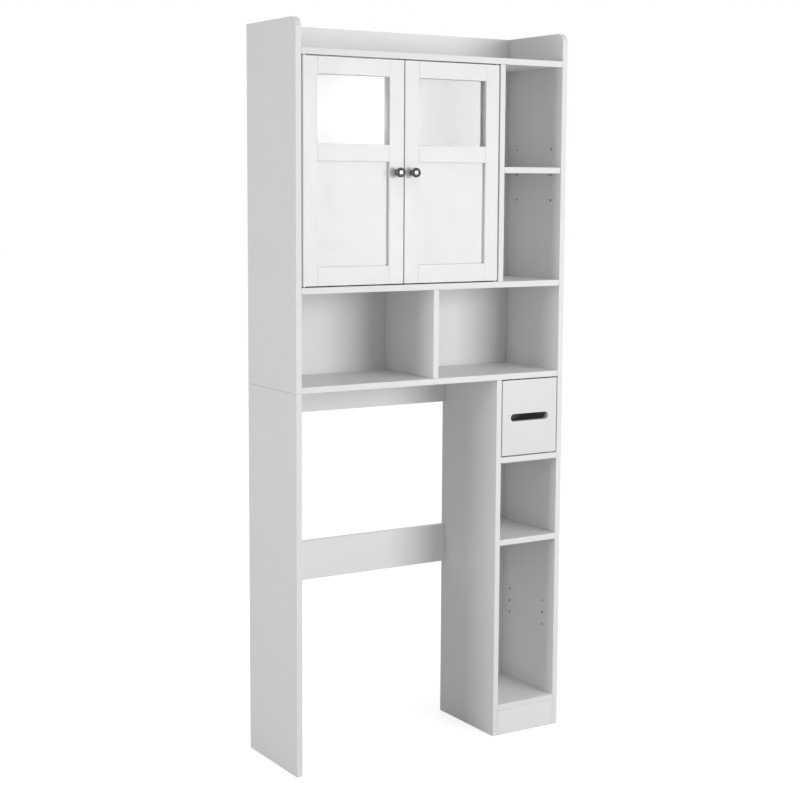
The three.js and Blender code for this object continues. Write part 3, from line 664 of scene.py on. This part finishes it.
# %% [markdown]
# ## Knobs
# Each door has one turned knob: a small foot, a waisted neck and a wide, flat-domed head. On a lathe it is
# one outline, and here it is made the same way: from a short round bar whose front face is pulled out and
# resized again and again, so that every step of the outline is a ring. The head is rounded at its rim and
# nearly flat on top, so that it mirrors the softbox as a white spot with a dark ring round it.

# %% Helpers for round pieces
RING_SIDES = 48
AXIS_TURN = {"x": (0, math.pi / 2, 0), "y": (math.pi / 2, 0, 0), "z": (0, 0, 0)}
AXIS_INDEX = {"x": 0, "y": 1, "z": 2}


def round_bar(name, axis, centre, radius, length, sides=RING_SIDES):
    """A short round bar along an axis, with its place in its mesh, left in edit mode."""
    deselect_all()
    bpy.ops.mesh.primitive_cylinder_add(
        vertices=sides, radius=radius, depth=length, location=centre, rotation=AXIS_TURN[axis])
    piece = bpy.context.object
    piece.name = name
    piece.data.name = name
    bpy.ops.object.transform_apply(location=True, rotation=True, scale=True)
    bpy.ops.object.mode_set(mode="EDIT")
    bpy.ops.mesh.select_mode(type="FACE")
    return piece


def select_faces(piece, wanted):
    """Selects the faces for which wanted(polygon) is true, and stays in edit mode."""
    bpy.ops.mesh.select_all(action="DESELECT")
    bpy.ops.object.mode_set(mode="OBJECT")
    for polygon in piece.data.polygons:
        polygon.select = bool(wanted(polygon))
    bpy.ops.object.mode_set(mode="EDIT")


def pull_rings(axis, sign, centre, steps):
    """Pulls the selected end face out through steps of (radius, reach along the axis)."""
    index = AXIS_INDEX[axis]
    radius, reach = steps[0]
    for next_radius, next_reach in steps[1:]:
        move = [0.0, 0.0, 0.0]
        move[index] = sign * (next_reach - reach)
        bpy.ops.mesh.extrude_region_move(TRANSFORM_OT_translate={"value": move})
        grow = [next_radius / radius] * 3
        grow[index] = 1.0
        pivot = list(centre)
        bpy.ops.transform.resize(value=grow, center_override=pivot)
        radius, reach = next_radius, next_reach


def copied(piece, name, offset):
    """A copy with its own mesh, moved by offset, with its place in its mesh."""
    deselect_all()
    piece.select_set(True)
    bpy.context.view_layer.objects.active = piece
    bpy.ops.object.duplicate()
    twin = bpy.context.object
    twin.name = name
    twin.data.name = name
    bpy.ops.transform.translate(value=offset)
    bpy.ops.object.transform_apply(location=True, rotation=True, scale=True)
    return twin


def centre_of(node):
    low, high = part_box(node)
    return (low + high) / 2


# %% Knob outline
KNOB_RADIUS = 12 * MM
KNOB_FOOT_RADIUS = 7 * MM
KNOB_NECK_RADIUS = 4.5 * MM
KNOB_FOOT_HEIGHT = 2 * MM
FOOT_ROUND = 0.6 * MM
NECK_RISE = 4 * MM
HEAD_ROUND = 1.5 * MM
KNOB_HEAD_START = 13.5 * MM
KNOB_RIM_LEVEL = 18 * MM
KNOB_FACE_RADIUS = 9 * MM
KNOB_CROWN = 1.2 * MM  # how far the middle of the face stands above its edge
CURVE_STEPS = 6


def quarter(start, end, steps, bulge_first):
    """Points on a quarter ellipse between two (radius, reach) points, without its start."""
    points = []
    for step in range(1, steps + 1):
        angle = math.pi / 2 * step / steps
        slow, fast = 1 - math.cos(angle), math.sin(angle)
        across, along = (fast, slow) if bulge_first else (slow, fast)
        radius = start[0] + (end[0] - start[0]) * across
        reach = start[1] + (end[1] - start[1]) * along
        points.append((radius, reach))
    return points


knob_low, knob_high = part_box("left_door_knob")
knob_length = knob_high.y - knob_low.y
knob_centre = centre_of("left_door_knob")
face_edge = (KNOB_FACE_RADIUS, knob_length - KNOB_CROWN)
knob_steps = [
    (KNOB_FOOT_RADIUS, KNOB_FOOT_HEIGHT - FOOT_ROUND), (KNOB_FOOT_RADIUS - FOOT_ROUND, KNOB_FOOT_HEIGHT),
]
neck_start = (KNOB_NECK_RADIUS, KNOB_FOOT_HEIGHT + NECK_RISE)
knob_steps += quarter(knob_steps[-1], neck_start, CURVE_STEPS, bulge_first=True)
head_under = (KNOB_RADIUS - HEAD_ROUND, KNOB_HEAD_START + HEAD_ROUND)
knob_steps += quarter(neck_start, head_under, CURVE_STEPS, bulge_first=False)
knob_steps += quarter(head_under, (KNOB_RADIUS, KNOB_RIM_LEVEL), CURVE_STEPS, bulge_first=True)
knob_steps += quarter((KNOB_RADIUS, KNOB_RIM_LEVEL), face_edge, CURVE_STEPS, bulge_first=False)
for step in range(1, CURVE_STEPS):
    share = step / CURVE_STEPS
    knob_steps.append((KNOB_FACE_RADIUS * (1 - share), knob_length - KNOB_CROWN * (1 - share) ** 2))
print("knob outline:", len(knob_steps), "rings")

# %% Turn the knob
BORE_RADIUS = 2.2 * MM
BORE_DEPTH = 7.5 * MM
BACK_LAYER = 0.1 * MM  # faces this close to the back of the knob are its back

knob_back = Vector((knob_centre.x, knob_high.y, knob_centre.z))
foot_thickness = knob_steps[0][1]
foot_centre = knob_back - Vector((0, foot_thickness / 2, 0))
knob = round_bar("left_knob", "y", foot_centre, KNOB_FOOT_RADIUS, foot_thickness)
select_faces(knob, lambda face: face.normal.y < -THAT_WAY)
pull_rings("y", -1, knob_back, knob_steps)
select_faces(knob, lambda face: face.normal.y > THAT_WAY and face.center.y > knob_back.y - BACK_LAYER)
bpy.ops.mesh.inset(thickness=KNOB_FOOT_RADIUS - BORE_RADIUS)
bpy.ops.mesh.extrude_region_move(TRANSFORM_OT_translate={"value": (0, -BORE_DEPTH, 0)})
bpy.ops.mesh.select_all(action="SELECT")
bpy.ops.mesh.normals_make_consistent(inside=False)
bpy.ops.object.mode_set(mode="OBJECT")
knob.data.materials.append(dark_nickel)
smooth_shading(knob)
across_doors = Vector((centre_of("right_door_knob").x - knob_centre.x, 0, 0))
right_knob = copied(knob, "right_knob", across_doors)
stand_for(knob, "left_door_knob")
stand_for(right_knob, "right_door_knob")
print("knob faces:", len(knob.data.polygons))

# %% [markdown]
# ## Screws and pins
# The knobs are held by pan head screws with a cross recess. A recess is a hole of an awkward shape, so the
# quickest clean way is the one a press uses: a punch with four wings is pushed into the head, here as a
# boolean cut.

# %% Small screw heads
CROSS_ARM = 1.1 * MM
SCREW_SIDES = 32


def cross_punch(centre, axis, reach, depth):
    """Two crossed bars, as one object, to cut a cross recess across the given axis."""
    bars = []
    for wide in [a for a in "xyz" if a != axis]:
        extent = [CROSS_ARM] * 3
        extent[AXIS_INDEX[wide]] = 2 * reach
        extent[AXIS_INDEX[axis]] = 2 * depth
        deselect_all()
        bpy.ops.mesh.primitive_cube_add(size=1, location=centre)
        bar = bpy.context.object
        bar.scale = extent
        bpy.ops.object.transform_apply(location=True, rotation=True, scale=True)
        bars.append(bar)
    cut_away(bars[0], bars[1], "UNION")
    return bars[0]


def cut_away(piece, tool, operation="DIFFERENCE"):
    """Applies a boolean and removes the tool."""
    boolean = piece.modifiers.new("cut", "BOOLEAN")
    boolean.operation = operation
    boolean.solver = "EXACT"
    boolean.object = tool
    apply_modifier(piece, boolean)
    bpy.data.objects.remove(tool)


# %% Knob screws
SCREW_HEAD_RADIUS = 4 * MM
SCREW_SHANK_RADIUS = 2 * MM
SCREW_HEAD_HEIGHT = 2.4 * MM
SCREW_TIP_CHAMFER = 0.6 * MM
HEAD_SKIRT = 0.8 * MM  # the straight wall of the head, under its dome
DOME_TOP_RADIUS = 2.4 * MM
THREAD_LENGTH = 12 * MM
THREAD_PITCH = 0.7 * MM
THREAD_DEPTH = 0.3 * MM
CROSS_REACH = 2.2 * MM
CROSS_DEPTH = 1.3 * MM

screw_low, screw_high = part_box("left_door_knob_screw")
screw_centre = centre_of("left_door_knob_screw")
screw_back = Vector((screw_centre.x, screw_high.y, screw_centre.z))
screw_length = screw_high.y - screw_low.y
skirt = (SCREW_HEAD_RADIUS, HEAD_SKIRT)
dome_top = (DOME_TOP_RADIUS, SCREW_HEAD_HEIGHT)
dome = [skirt] + quarter(skirt, dome_top, CURVE_STEPS, bulge_first=False)
head_middle = screw_back - Vector((0, SCREW_HEAD_HEIGHT - HEAD_SKIRT / 2, 0))
knob_screw = round_bar("left_knob_screw", "y", head_middle, SCREW_HEAD_RADIUS, HEAD_SKIRT, SCREW_SIDES)
select_faces(knob_screw, lambda face: face.normal.y > THAT_WAY)
pull_rings("y", 1, screw_back, dome)
thread_start = screw_length - SCREW_HEAD_HEIGHT - THREAD_LENGTH
shank = [(SCREW_HEAD_RADIUS, 0.0), (SCREW_SHANK_RADIUS, HAIR), (SCREW_SHANK_RADIUS, thread_start)]
reach = thread_start
while reach + THREAD_PITCH < screw_length - SCREW_HEAD_HEIGHT - SCREW_TIP_CHAMFER:
    shank.append((SCREW_SHANK_RADIUS - THREAD_DEPTH, reach + THREAD_PITCH / 2))
    shank.append((SCREW_SHANK_RADIUS, reach + THREAD_PITCH))
    reach += THREAD_PITCH
shank.append((SCREW_SHANK_RADIUS - SCREW_TIP_CHAMFER, screw_length - SCREW_HEAD_HEIGHT))
select_faces(knob_screw, lambda face: face.normal.y < -THAT_WAY)
pull_rings("y", -1, screw_back, shank)
bpy.ops.object.mode_set(mode="OBJECT")
cut_away(knob_screw, cross_punch(screw_back, "y", CROSS_REACH, CROSS_DEPTH))
knob_screw.data.materials.append(zinc)
smooth_shading(knob_screw)
right_screw = copied(knob_screw, "right_knob_screw", across_doors)
stand_for(knob_screw, "left_door_knob_screw")
stand_for(right_screw, "right_door_knob_screw")
print("knob screws:", len(knob_screw.data.polygons), "faces each")

# %% [markdown]
# The doors turn on plain steel pins at top and bottom. A pin like this is cropped from rod, its ends are
# chamfered so that it finds its hole, and the part inside the door is lightly ringed so that it grips. The
# shelf pins are smaller: one end is pressed into the side board up to a thin collar, and the shelf lies on
# the other, rounded end.

# %% Pivot pins
PIN_CHAMFER = 0.6 * MM
GRIP_RINGS = 5
GRIP_DEPTH = 0.12 * MM
GRIP_SPACING = 1.2 * MM
GRIP_START = 0.6  # of the pin's length
GRIP_REACHES = (0.4 * MM, 0.7 * MM, 1.1 * MM)  # where a ring reaches its depth, leaves it, and ends


def pivot_pin(node):
    """A pin on the frame's pin, upright, with chamfered ends and grip rings on the part inside the door."""
    low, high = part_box(node)
    centre = centre_of(node)
    radius = (high.x - low.x) / 2
    length = high.z - low.z
    in_door = 1 if "bottom" in node else -1
    base = Vector((centre.x, centre.y, low.z if in_door > 0 else high.z))
    start = base + Vector((0, 0, in_door * PIN_CHAMFER * 1.5))
    pin = round_bar("finished_" + node, "z", start, radius, PIN_CHAMFER)
    select_faces(pin, lambda face: face.normal.z * in_door < -THAT_WAY)
    pull_rings("z", -in_door, base, [(radius, 0.0), (radius - PIN_CHAMFER, PIN_CHAMFER)])
    steps = [(radius, 2 * PIN_CHAMFER), (radius, length * GRIP_START)]
    for ring in range(GRIP_RINGS):
        foot = length * GRIP_START + ring * GRIP_SPACING
        steps.append((radius - GRIP_DEPTH, foot + GRIP_REACHES[0]))
        steps.append((radius - GRIP_DEPTH, foot + GRIP_REACHES[1]))
        steps.append((radius, foot + GRIP_REACHES[2]))
    steps.append((radius, length - PIN_CHAMFER))
    steps.append((radius - PIN_CHAMFER, length))
    select_faces(pin, lambda face: face.normal.z * in_door > THAT_WAY)
    pull_rings("z", in_door, base, steps)
    bpy.ops.object.mode_set(mode="OBJECT")
    pin.data.materials.append(zinc)
    smooth_shading(pin)
    stand_for(pin, node)
    return pin


pivot_pins = [pivot_pin(node) for node in slot_of if node.endswith("pivot_pin")]
print("pivot pins:", len(pivot_pins))

# %% Shelf pins
COLLAR_RADIUS = 4 * MM
COLLAR_THICKNESS = 0.6 * MM
COLLAR_GAP = 0.1 * MM
NOSE_LENGTH = 1.2 * MM
NOSE_TIP = 0.4  # of the pin's radius
NOSE_STEPS = 4
bay_sides = {
    "cabinet_left": ("upper_left_side", 1), "cabinet_right": ("cabinet_divider", -1),
    "column_left": ("cabinet_divider", 1), "column_right": ("upper_right_side", -1),
}


def shelf_pin(node, board_face, into_bay):
    """A pin lying along X, with a collar on the board's face and a rounded nose under the shelf."""
    low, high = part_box(node)
    centre = centre_of(node)
    radius = (high.z - low.z) / 2
    tip = high.x if into_bay > 0 else low.x
    buried = low.x if into_bay > 0 else high.x
    base = Vector((buried, centre.y, centre.z))
    hidden = abs(board_face - buried)
    nose = abs(tip - buried)
    collar = hidden + COLLAR_GAP
    steps = [
        (radius, PIN_CHAMFER), (radius, collar), (COLLAR_RADIUS, collar + HAIR),
        (COLLAR_RADIUS, collar + COLLAR_THICKNESS), (radius, collar + COLLAR_THICKNESS + HAIR),
        (radius, nose - NOSE_LENGTH),
    ]
    steps += quarter((radius, nose - NOSE_LENGTH), (radius * NOSE_TIP, nose), NOSE_STEPS, bulge_first=False)
    start = base + Vector((into_bay * PIN_CHAMFER * 0.75, 0, 0))
    pin = round_bar("finished_" + node, "x", start, radius, PIN_CHAMFER / 2)
    select_faces(pin, lambda face: face.normal.x * into_bay < -THAT_WAY)
    pull_rings("x", -into_bay, base, [(radius, 0.0), (radius - PIN_CHAMFER / 2, PIN_CHAMFER / 2)])
    select_faces(pin, lambda face: face.normal.x * into_bay > THAT_WAY)
    pull_rings("x", into_bay, base, steps)
    bpy.ops.object.mode_set(mode="OBJECT")
    pin.data.materials.append(zinc)
    smooth_shading(pin)
    stand_for(pin, node)
    return pin


shelf_pins = []
for bay, (side_board, into_bay) in bay_sides.items():
    side_low, side_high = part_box(side_board)
    board_face = side_high.x if into_bay > 0 else side_low.x
    for place in ("front", "rear"):
        shelf_pins.append(shelf_pin(f"{bay}_{place}_pin", board_face, into_bay))
print("shelf pins:", len(shelf_pins))

# %% [markdown]
# ## Magnetic catch
# Each door carries a thin steel plate that meets a magnet under the top panel. The catch is a moulded case
# with a window at the front for each door; in the window, two steel pole plates stand on either side of a
# dark magnet. The case starts as a block: its front is divided, the two windows are inset and pushed in,
# and its edges rounded.

# %% Helper for blocks


def block(name, low, high):
    """A block between two corners, with its place in its mesh."""
    deselect_all()
    bpy.ops.mesh.primitive_cube_add(size=1, location=(Vector(low) + Vector(high)) / 2)
    piece = bpy.context.object
    piece.scale = Vector(high) - Vector(low)
    bpy.ops.object.transform_apply(location=True, rotation=True, scale=True)
    piece.name = name
    piece.data.name = name
    return piece


# %% Catch case
WINDOW_RIM = 2.6 * MM
WINDOW_DEPTH = 1.4 * MM
CASE_EDGE = 0.8 * MM

catch_low, catch_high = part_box("magnetic_catch")
catch_middle = (catch_low.x + catch_high.x) / 2
case = block("catch_case", catch_low, catch_high)
bpy.ops.object.mode_set(mode="EDIT")
bpy.ops.mesh.select_all(action="SELECT")
bpy.ops.mesh.bisect(plane_co=(catch_middle, 0, 0), plane_no=(1, 0, 0))
bpy.ops.mesh.select_mode(type="FACE")
select_faces(case, lambda face: face.normal.y < -THAT_WAY)
bpy.ops.mesh.inset(thickness=WINDOW_RIM, use_individual=True)
bpy.ops.mesh.extrude_region_move(TRANSFORM_OT_translate={"value": (0, WINDOW_DEPTH, 0)})
bpy.ops.mesh.select_all(action="SELECT")
bpy.ops.mesh.normals_make_consistent(inside=False)
bpy.ops.object.mode_set(mode="OBJECT")
ease_edges(case, CASE_EDGE)
case.data.materials.append(moulded_white)
smooth_shading(case)
stand_for(case, "magnetic_catch")
print("catch case:", len(case.data.polygons), "faces")

# %% Magnets and pole plates
POLE_THICKNESS = 1.6 * MM
POLE_STAND = 0.2 * MM  # the plates end this far behind the catch's front
PLATE_EDGE = 0.15 * MM
POLE_PLAY = 0.2 * MM  # between the plates and the rim of the window
MAGNET_INSET = 0.5 * MM
MAGNET_PLAY = 0.05 * MM
FLOOR_GAP = 0.3 * MM  # plates and magnets end this far short of the window's floor


def catch_block(name, low, high, material):
    piece = block(name, low, high)
    ease_edges(piece, PLATE_EDGE)
    piece.data.materials.append(material)
    smooth_shading(piece)
    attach(piece, body_of["magnetic_catch"])
    return piece


block_back = catch_low.y + WINDOW_DEPTH - FLOOR_GAP
for hand, window_low, window_high in (
        ("left", catch_low.x, catch_middle), ("right", catch_middle, catch_high.x)):
    inner_x = (window_low + WINDOW_RIM + POLE_PLAY, window_high - WINDOW_RIM - POLE_PLAY)
    inner_z = (catch_low.z + WINDOW_RIM + POLE_PLAY, catch_high.z - WINDOW_RIM - POLE_PLAY)
    pole_front = catch_low.y + POLE_STAND
    for place, bottom in (("lower", inner_z[0]), ("upper", inner_z[1] - POLE_THICKNESS)):
        name = f"{hand}_{place}_pole_plate"
        corner = (inner_x[0], pole_front, bottom)
        far = (inner_x[1], block_back, bottom + POLE_THICKNESS)
        catch_block(name, corner, far, zinc)
    low_z = inner_z[0] + POLE_THICKNESS + MAGNET_PLAY
    high_z = inner_z[1] - POLE_THICKNESS - MAGNET_PLAY
    corner = (inner_x[0] + MAGNET_INSET, pole_front + MAGNET_INSET, low_z)
    far = (inner_x[1] - MAGNET_INSET, block_back, high_z)
    catch_block(f"{hand}_magnet", corner, far, ferrite)
print("poles start", round((pole_front - catch_low.y) / MM, 2), "mm behind the case front")

# %% [markdown]
# The strike plates are punched from sheet, so their corners are round and their edges broken. Each is fixed
# by one countersunk screw below the reach of the catch, its flat head almost flush with the plate.

# %% Strike plates
PLATE_CORNER = 2.5 * MM
CORNER_SEGMENTS = 5
FLAT_HEAD_RADIUS = 3.2 * MM
FLAT_HEAD_PROUD = 0.12 * MM
FLAT_HEAD_THICKNESS = 0.9 * MM
FLAT_HEAD_TAPER = 0.7
FLAT_CROSS_REACH = 1.9 * MM
FLAT_CROSS_DEPTH = 0.5 * MM
SCREW_FROM_BOTTOM = 8 * MM


def strike_plate(node):
    low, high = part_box(node)
    plate = block("finished_" + node, low, high)
    bpy.ops.object.mode_set(mode="EDIT")
    bpy.ops.mesh.select_mode(type="EDGE")
    bpy.ops.mesh.select_all(action="DESELECT")
    bpy.ops.object.mode_set(mode="OBJECT")
    points = plate.data.vertices
    for edge in plate.data.edges:
        first, second = (points[index].co for index in edge.vertices)
        edge.select = abs(first.y - second.y) > 0.5 * (high.y - low.y)
    bpy.ops.object.mode_set(mode="EDIT")
    bpy.ops.mesh.bevel(offset=PLATE_CORNER, segments=CORNER_SEGMENTS)
    bpy.ops.object.mode_set(mode="OBJECT")
    ease_edges(plate, PLATE_EDGE)
    plate.data.materials.append(zinc)
    smooth_shading(plate)
    stand_for(plate, node)
    return plate


def flat_screw(name, face_centre, body):
    """A countersunk screw head on a face that looks along +Y."""
    middle = face_centre - Vector((0, FLAT_HEAD_THICKNESS / 2 - FLAT_HEAD_PROUD, 0))
    head = round_bar(name, "y", middle, FLAT_HEAD_RADIUS, FLAT_HEAD_THICKNESS, SCREW_SIDES)
    select_faces(head, lambda face: face.normal.y < -THAT_WAY)
    bpy.ops.transform.resize(value=(FLAT_HEAD_TAPER, 1, FLAT_HEAD_TAPER), center_override=middle)
    bpy.ops.object.mode_set(mode="OBJECT")
    cut_away(head, cross_punch(face_centre, "y", FLAT_CROSS_REACH, FLAT_CROSS_DEPTH))
    head.data.materials.append(zinc)
    smooth_shading(head)
    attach(head, body)
    return head


for hand in ("left", "right"):
    node = f"{hand}_door_strike_plate"
    strike_plate(node)
    low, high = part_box(node)
    screw_place = Vector(((low.x + high.x) / 2, high.y, low.z + SCREW_FROM_BOTTOM))
    flat_screw(f"{hand}_strike_screw", screw_place, body_of[node])
print("strike plates: 2, each with a flat screw")

# %% [markdown]
# ## Paper spindle
# The paper roll turns on a spindle that drops into notches in the drawer's sides. It is two plastic tubes,
# one sliding in the other on a spring, so that it can be shortened and lifted out. Its outline has the two
# collars that keep the roll off the drawer's sides, a step where the thinner tube comes out, and hollow,
# rounded ends.

# %% Spindle
SPINDLE_RADIUS = 8 * MM
INNER_TUBE_RADIUS = 7.2 * MM
SPINDLE_COLLAR_RADIUS = 11 * MM
SPINDLE_COLLAR = 3 * MM
SPINDLE_COLLAR_PLAY = 0.7 * MM
COLLAR_ROUND = 0.5 * MM
GRIP_GROOVES = 6
GROOVE_SPACING = 3 * MM
GROOVE_DEPTH = 0.4 * MM
GROOVE_REACHES = (0.5 * MM, 1.0 * MM, 1.5 * MM)  # where a groove reaches its depth, leaves it, and ends
END_ROUND = 0.8 * MM
TUBE_WALL = 1.6 * MM
HOLLOW_DEPTH = 6 * MM
FLARE = 1.0 * MM  # the thinner tube widens over this length before the second collar
INNER_TUBE_FROM = 0.62  # where the thinner tube comes out, of the way between the collars

spindle_low, spindle_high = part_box("paper_spindle")
spindle_centre = centre_of("paper_spindle")
spindle_start = Vector((spindle_low.x, spindle_centre.y, spindle_centre.z))
spindle_length = spindle_high.x - spindle_low.x
left_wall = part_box("drawer_left_side")[1].x - spindle_low.x
right_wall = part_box("drawer_right_side")[0].x - spindle_low.x


def collar_rings(start):
    """The rings of a collar that begins at start, with rounded rims."""
    end = start + SPINDLE_COLLAR
    return [
        (SPINDLE_RADIUS, start), (SPINDLE_COLLAR_RADIUS - COLLAR_ROUND, start + HAIR),
        (SPINDLE_COLLAR_RADIUS, start + COLLAR_ROUND), (SPINDLE_COLLAR_RADIUS, end - COLLAR_ROUND),
        (SPINDLE_COLLAR_RADIUS - COLLAR_ROUND, end - HAIR), (SPINDLE_RADIUS, end),
    ]


first_collar = left_wall + SPINDLE_COLLAR_PLAY
second_collar = right_wall - SPINDLE_COLLAR_PLAY - SPINDLE_COLLAR
telescope = first_collar + INNER_TUBE_FROM * (second_collar - first_collar)
outline = [(SPINDLE_RADIUS, 2 * END_ROUND), (SPINDLE_RADIUS, first_collar - COLLAR_ROUND)]
outline += collar_rings(first_collar)
for groove in range(GRIP_GROOVES):
    foot = telescope - (GRIP_GROOVES - groove) * GROOVE_SPACING
    outline += [(SPINDLE_RADIUS, foot), (SPINDLE_RADIUS - GROOVE_DEPTH, foot + GROOVE_REACHES[0])]
    outline.append((SPINDLE_RADIUS - GROOVE_DEPTH, foot + GROOVE_REACHES[1]))
    outline.append((SPINDLE_RADIUS, foot + GROOVE_REACHES[2]))
outline += [(SPINDLE_RADIUS, telescope - GROOVE_DEPTH), (SPINDLE_RADIUS - GROOVE_DEPTH, telescope)]
outline += [(INNER_TUBE_RADIUS, telescope + HAIR), (INNER_TUBE_RADIUS, second_collar - FLARE)]
outline += collar_rings(second_collar)
outline += [(SPINDLE_RADIUS, spindle_length - END_ROUND), (SPINDLE_RADIUS - END_ROUND, spindle_length)]
first_disc = spindle_start + Vector((1.5 * END_ROUND, 0, 0))
spindle = round_bar("spindle", "x", first_disc, SPINDLE_RADIUS, END_ROUND)
select_faces(spindle, lambda face: face.normal.x < -THAT_WAY)
pull_rings("x", -1, spindle_start, [(SPINDLE_RADIUS, 0.0), (SPINDLE_RADIUS - END_ROUND, END_ROUND)])
select_faces(spindle, lambda face: face.normal.x > THAT_WAY)
pull_rings("x", 1, spindle_start, outline)
for side in (-1, 1):
    select_faces(spindle, lambda face: face.normal.x * side > THAT_WAY and len(face.vertices) == RING_SIDES)
    bpy.ops.mesh.inset(thickness=TUBE_WALL)
    bpy.ops.mesh.extrude_region_move(TRANSFORM_OT_translate={"value": (-side * HOLLOW_DEPTH, 0, 0)})
bpy.ops.mesh.select_all(action="SELECT")
bpy.ops.mesh.normals_make_consistent(inside=False)
bpy.ops.object.mode_set(mode="OBJECT")
spindle.data.materials.append(moulded_white)
smooth_shading(spindle)
stand_for(spindle, "paper_spindle")
print("spindle:", len(spindle.data.polygons), "faces")
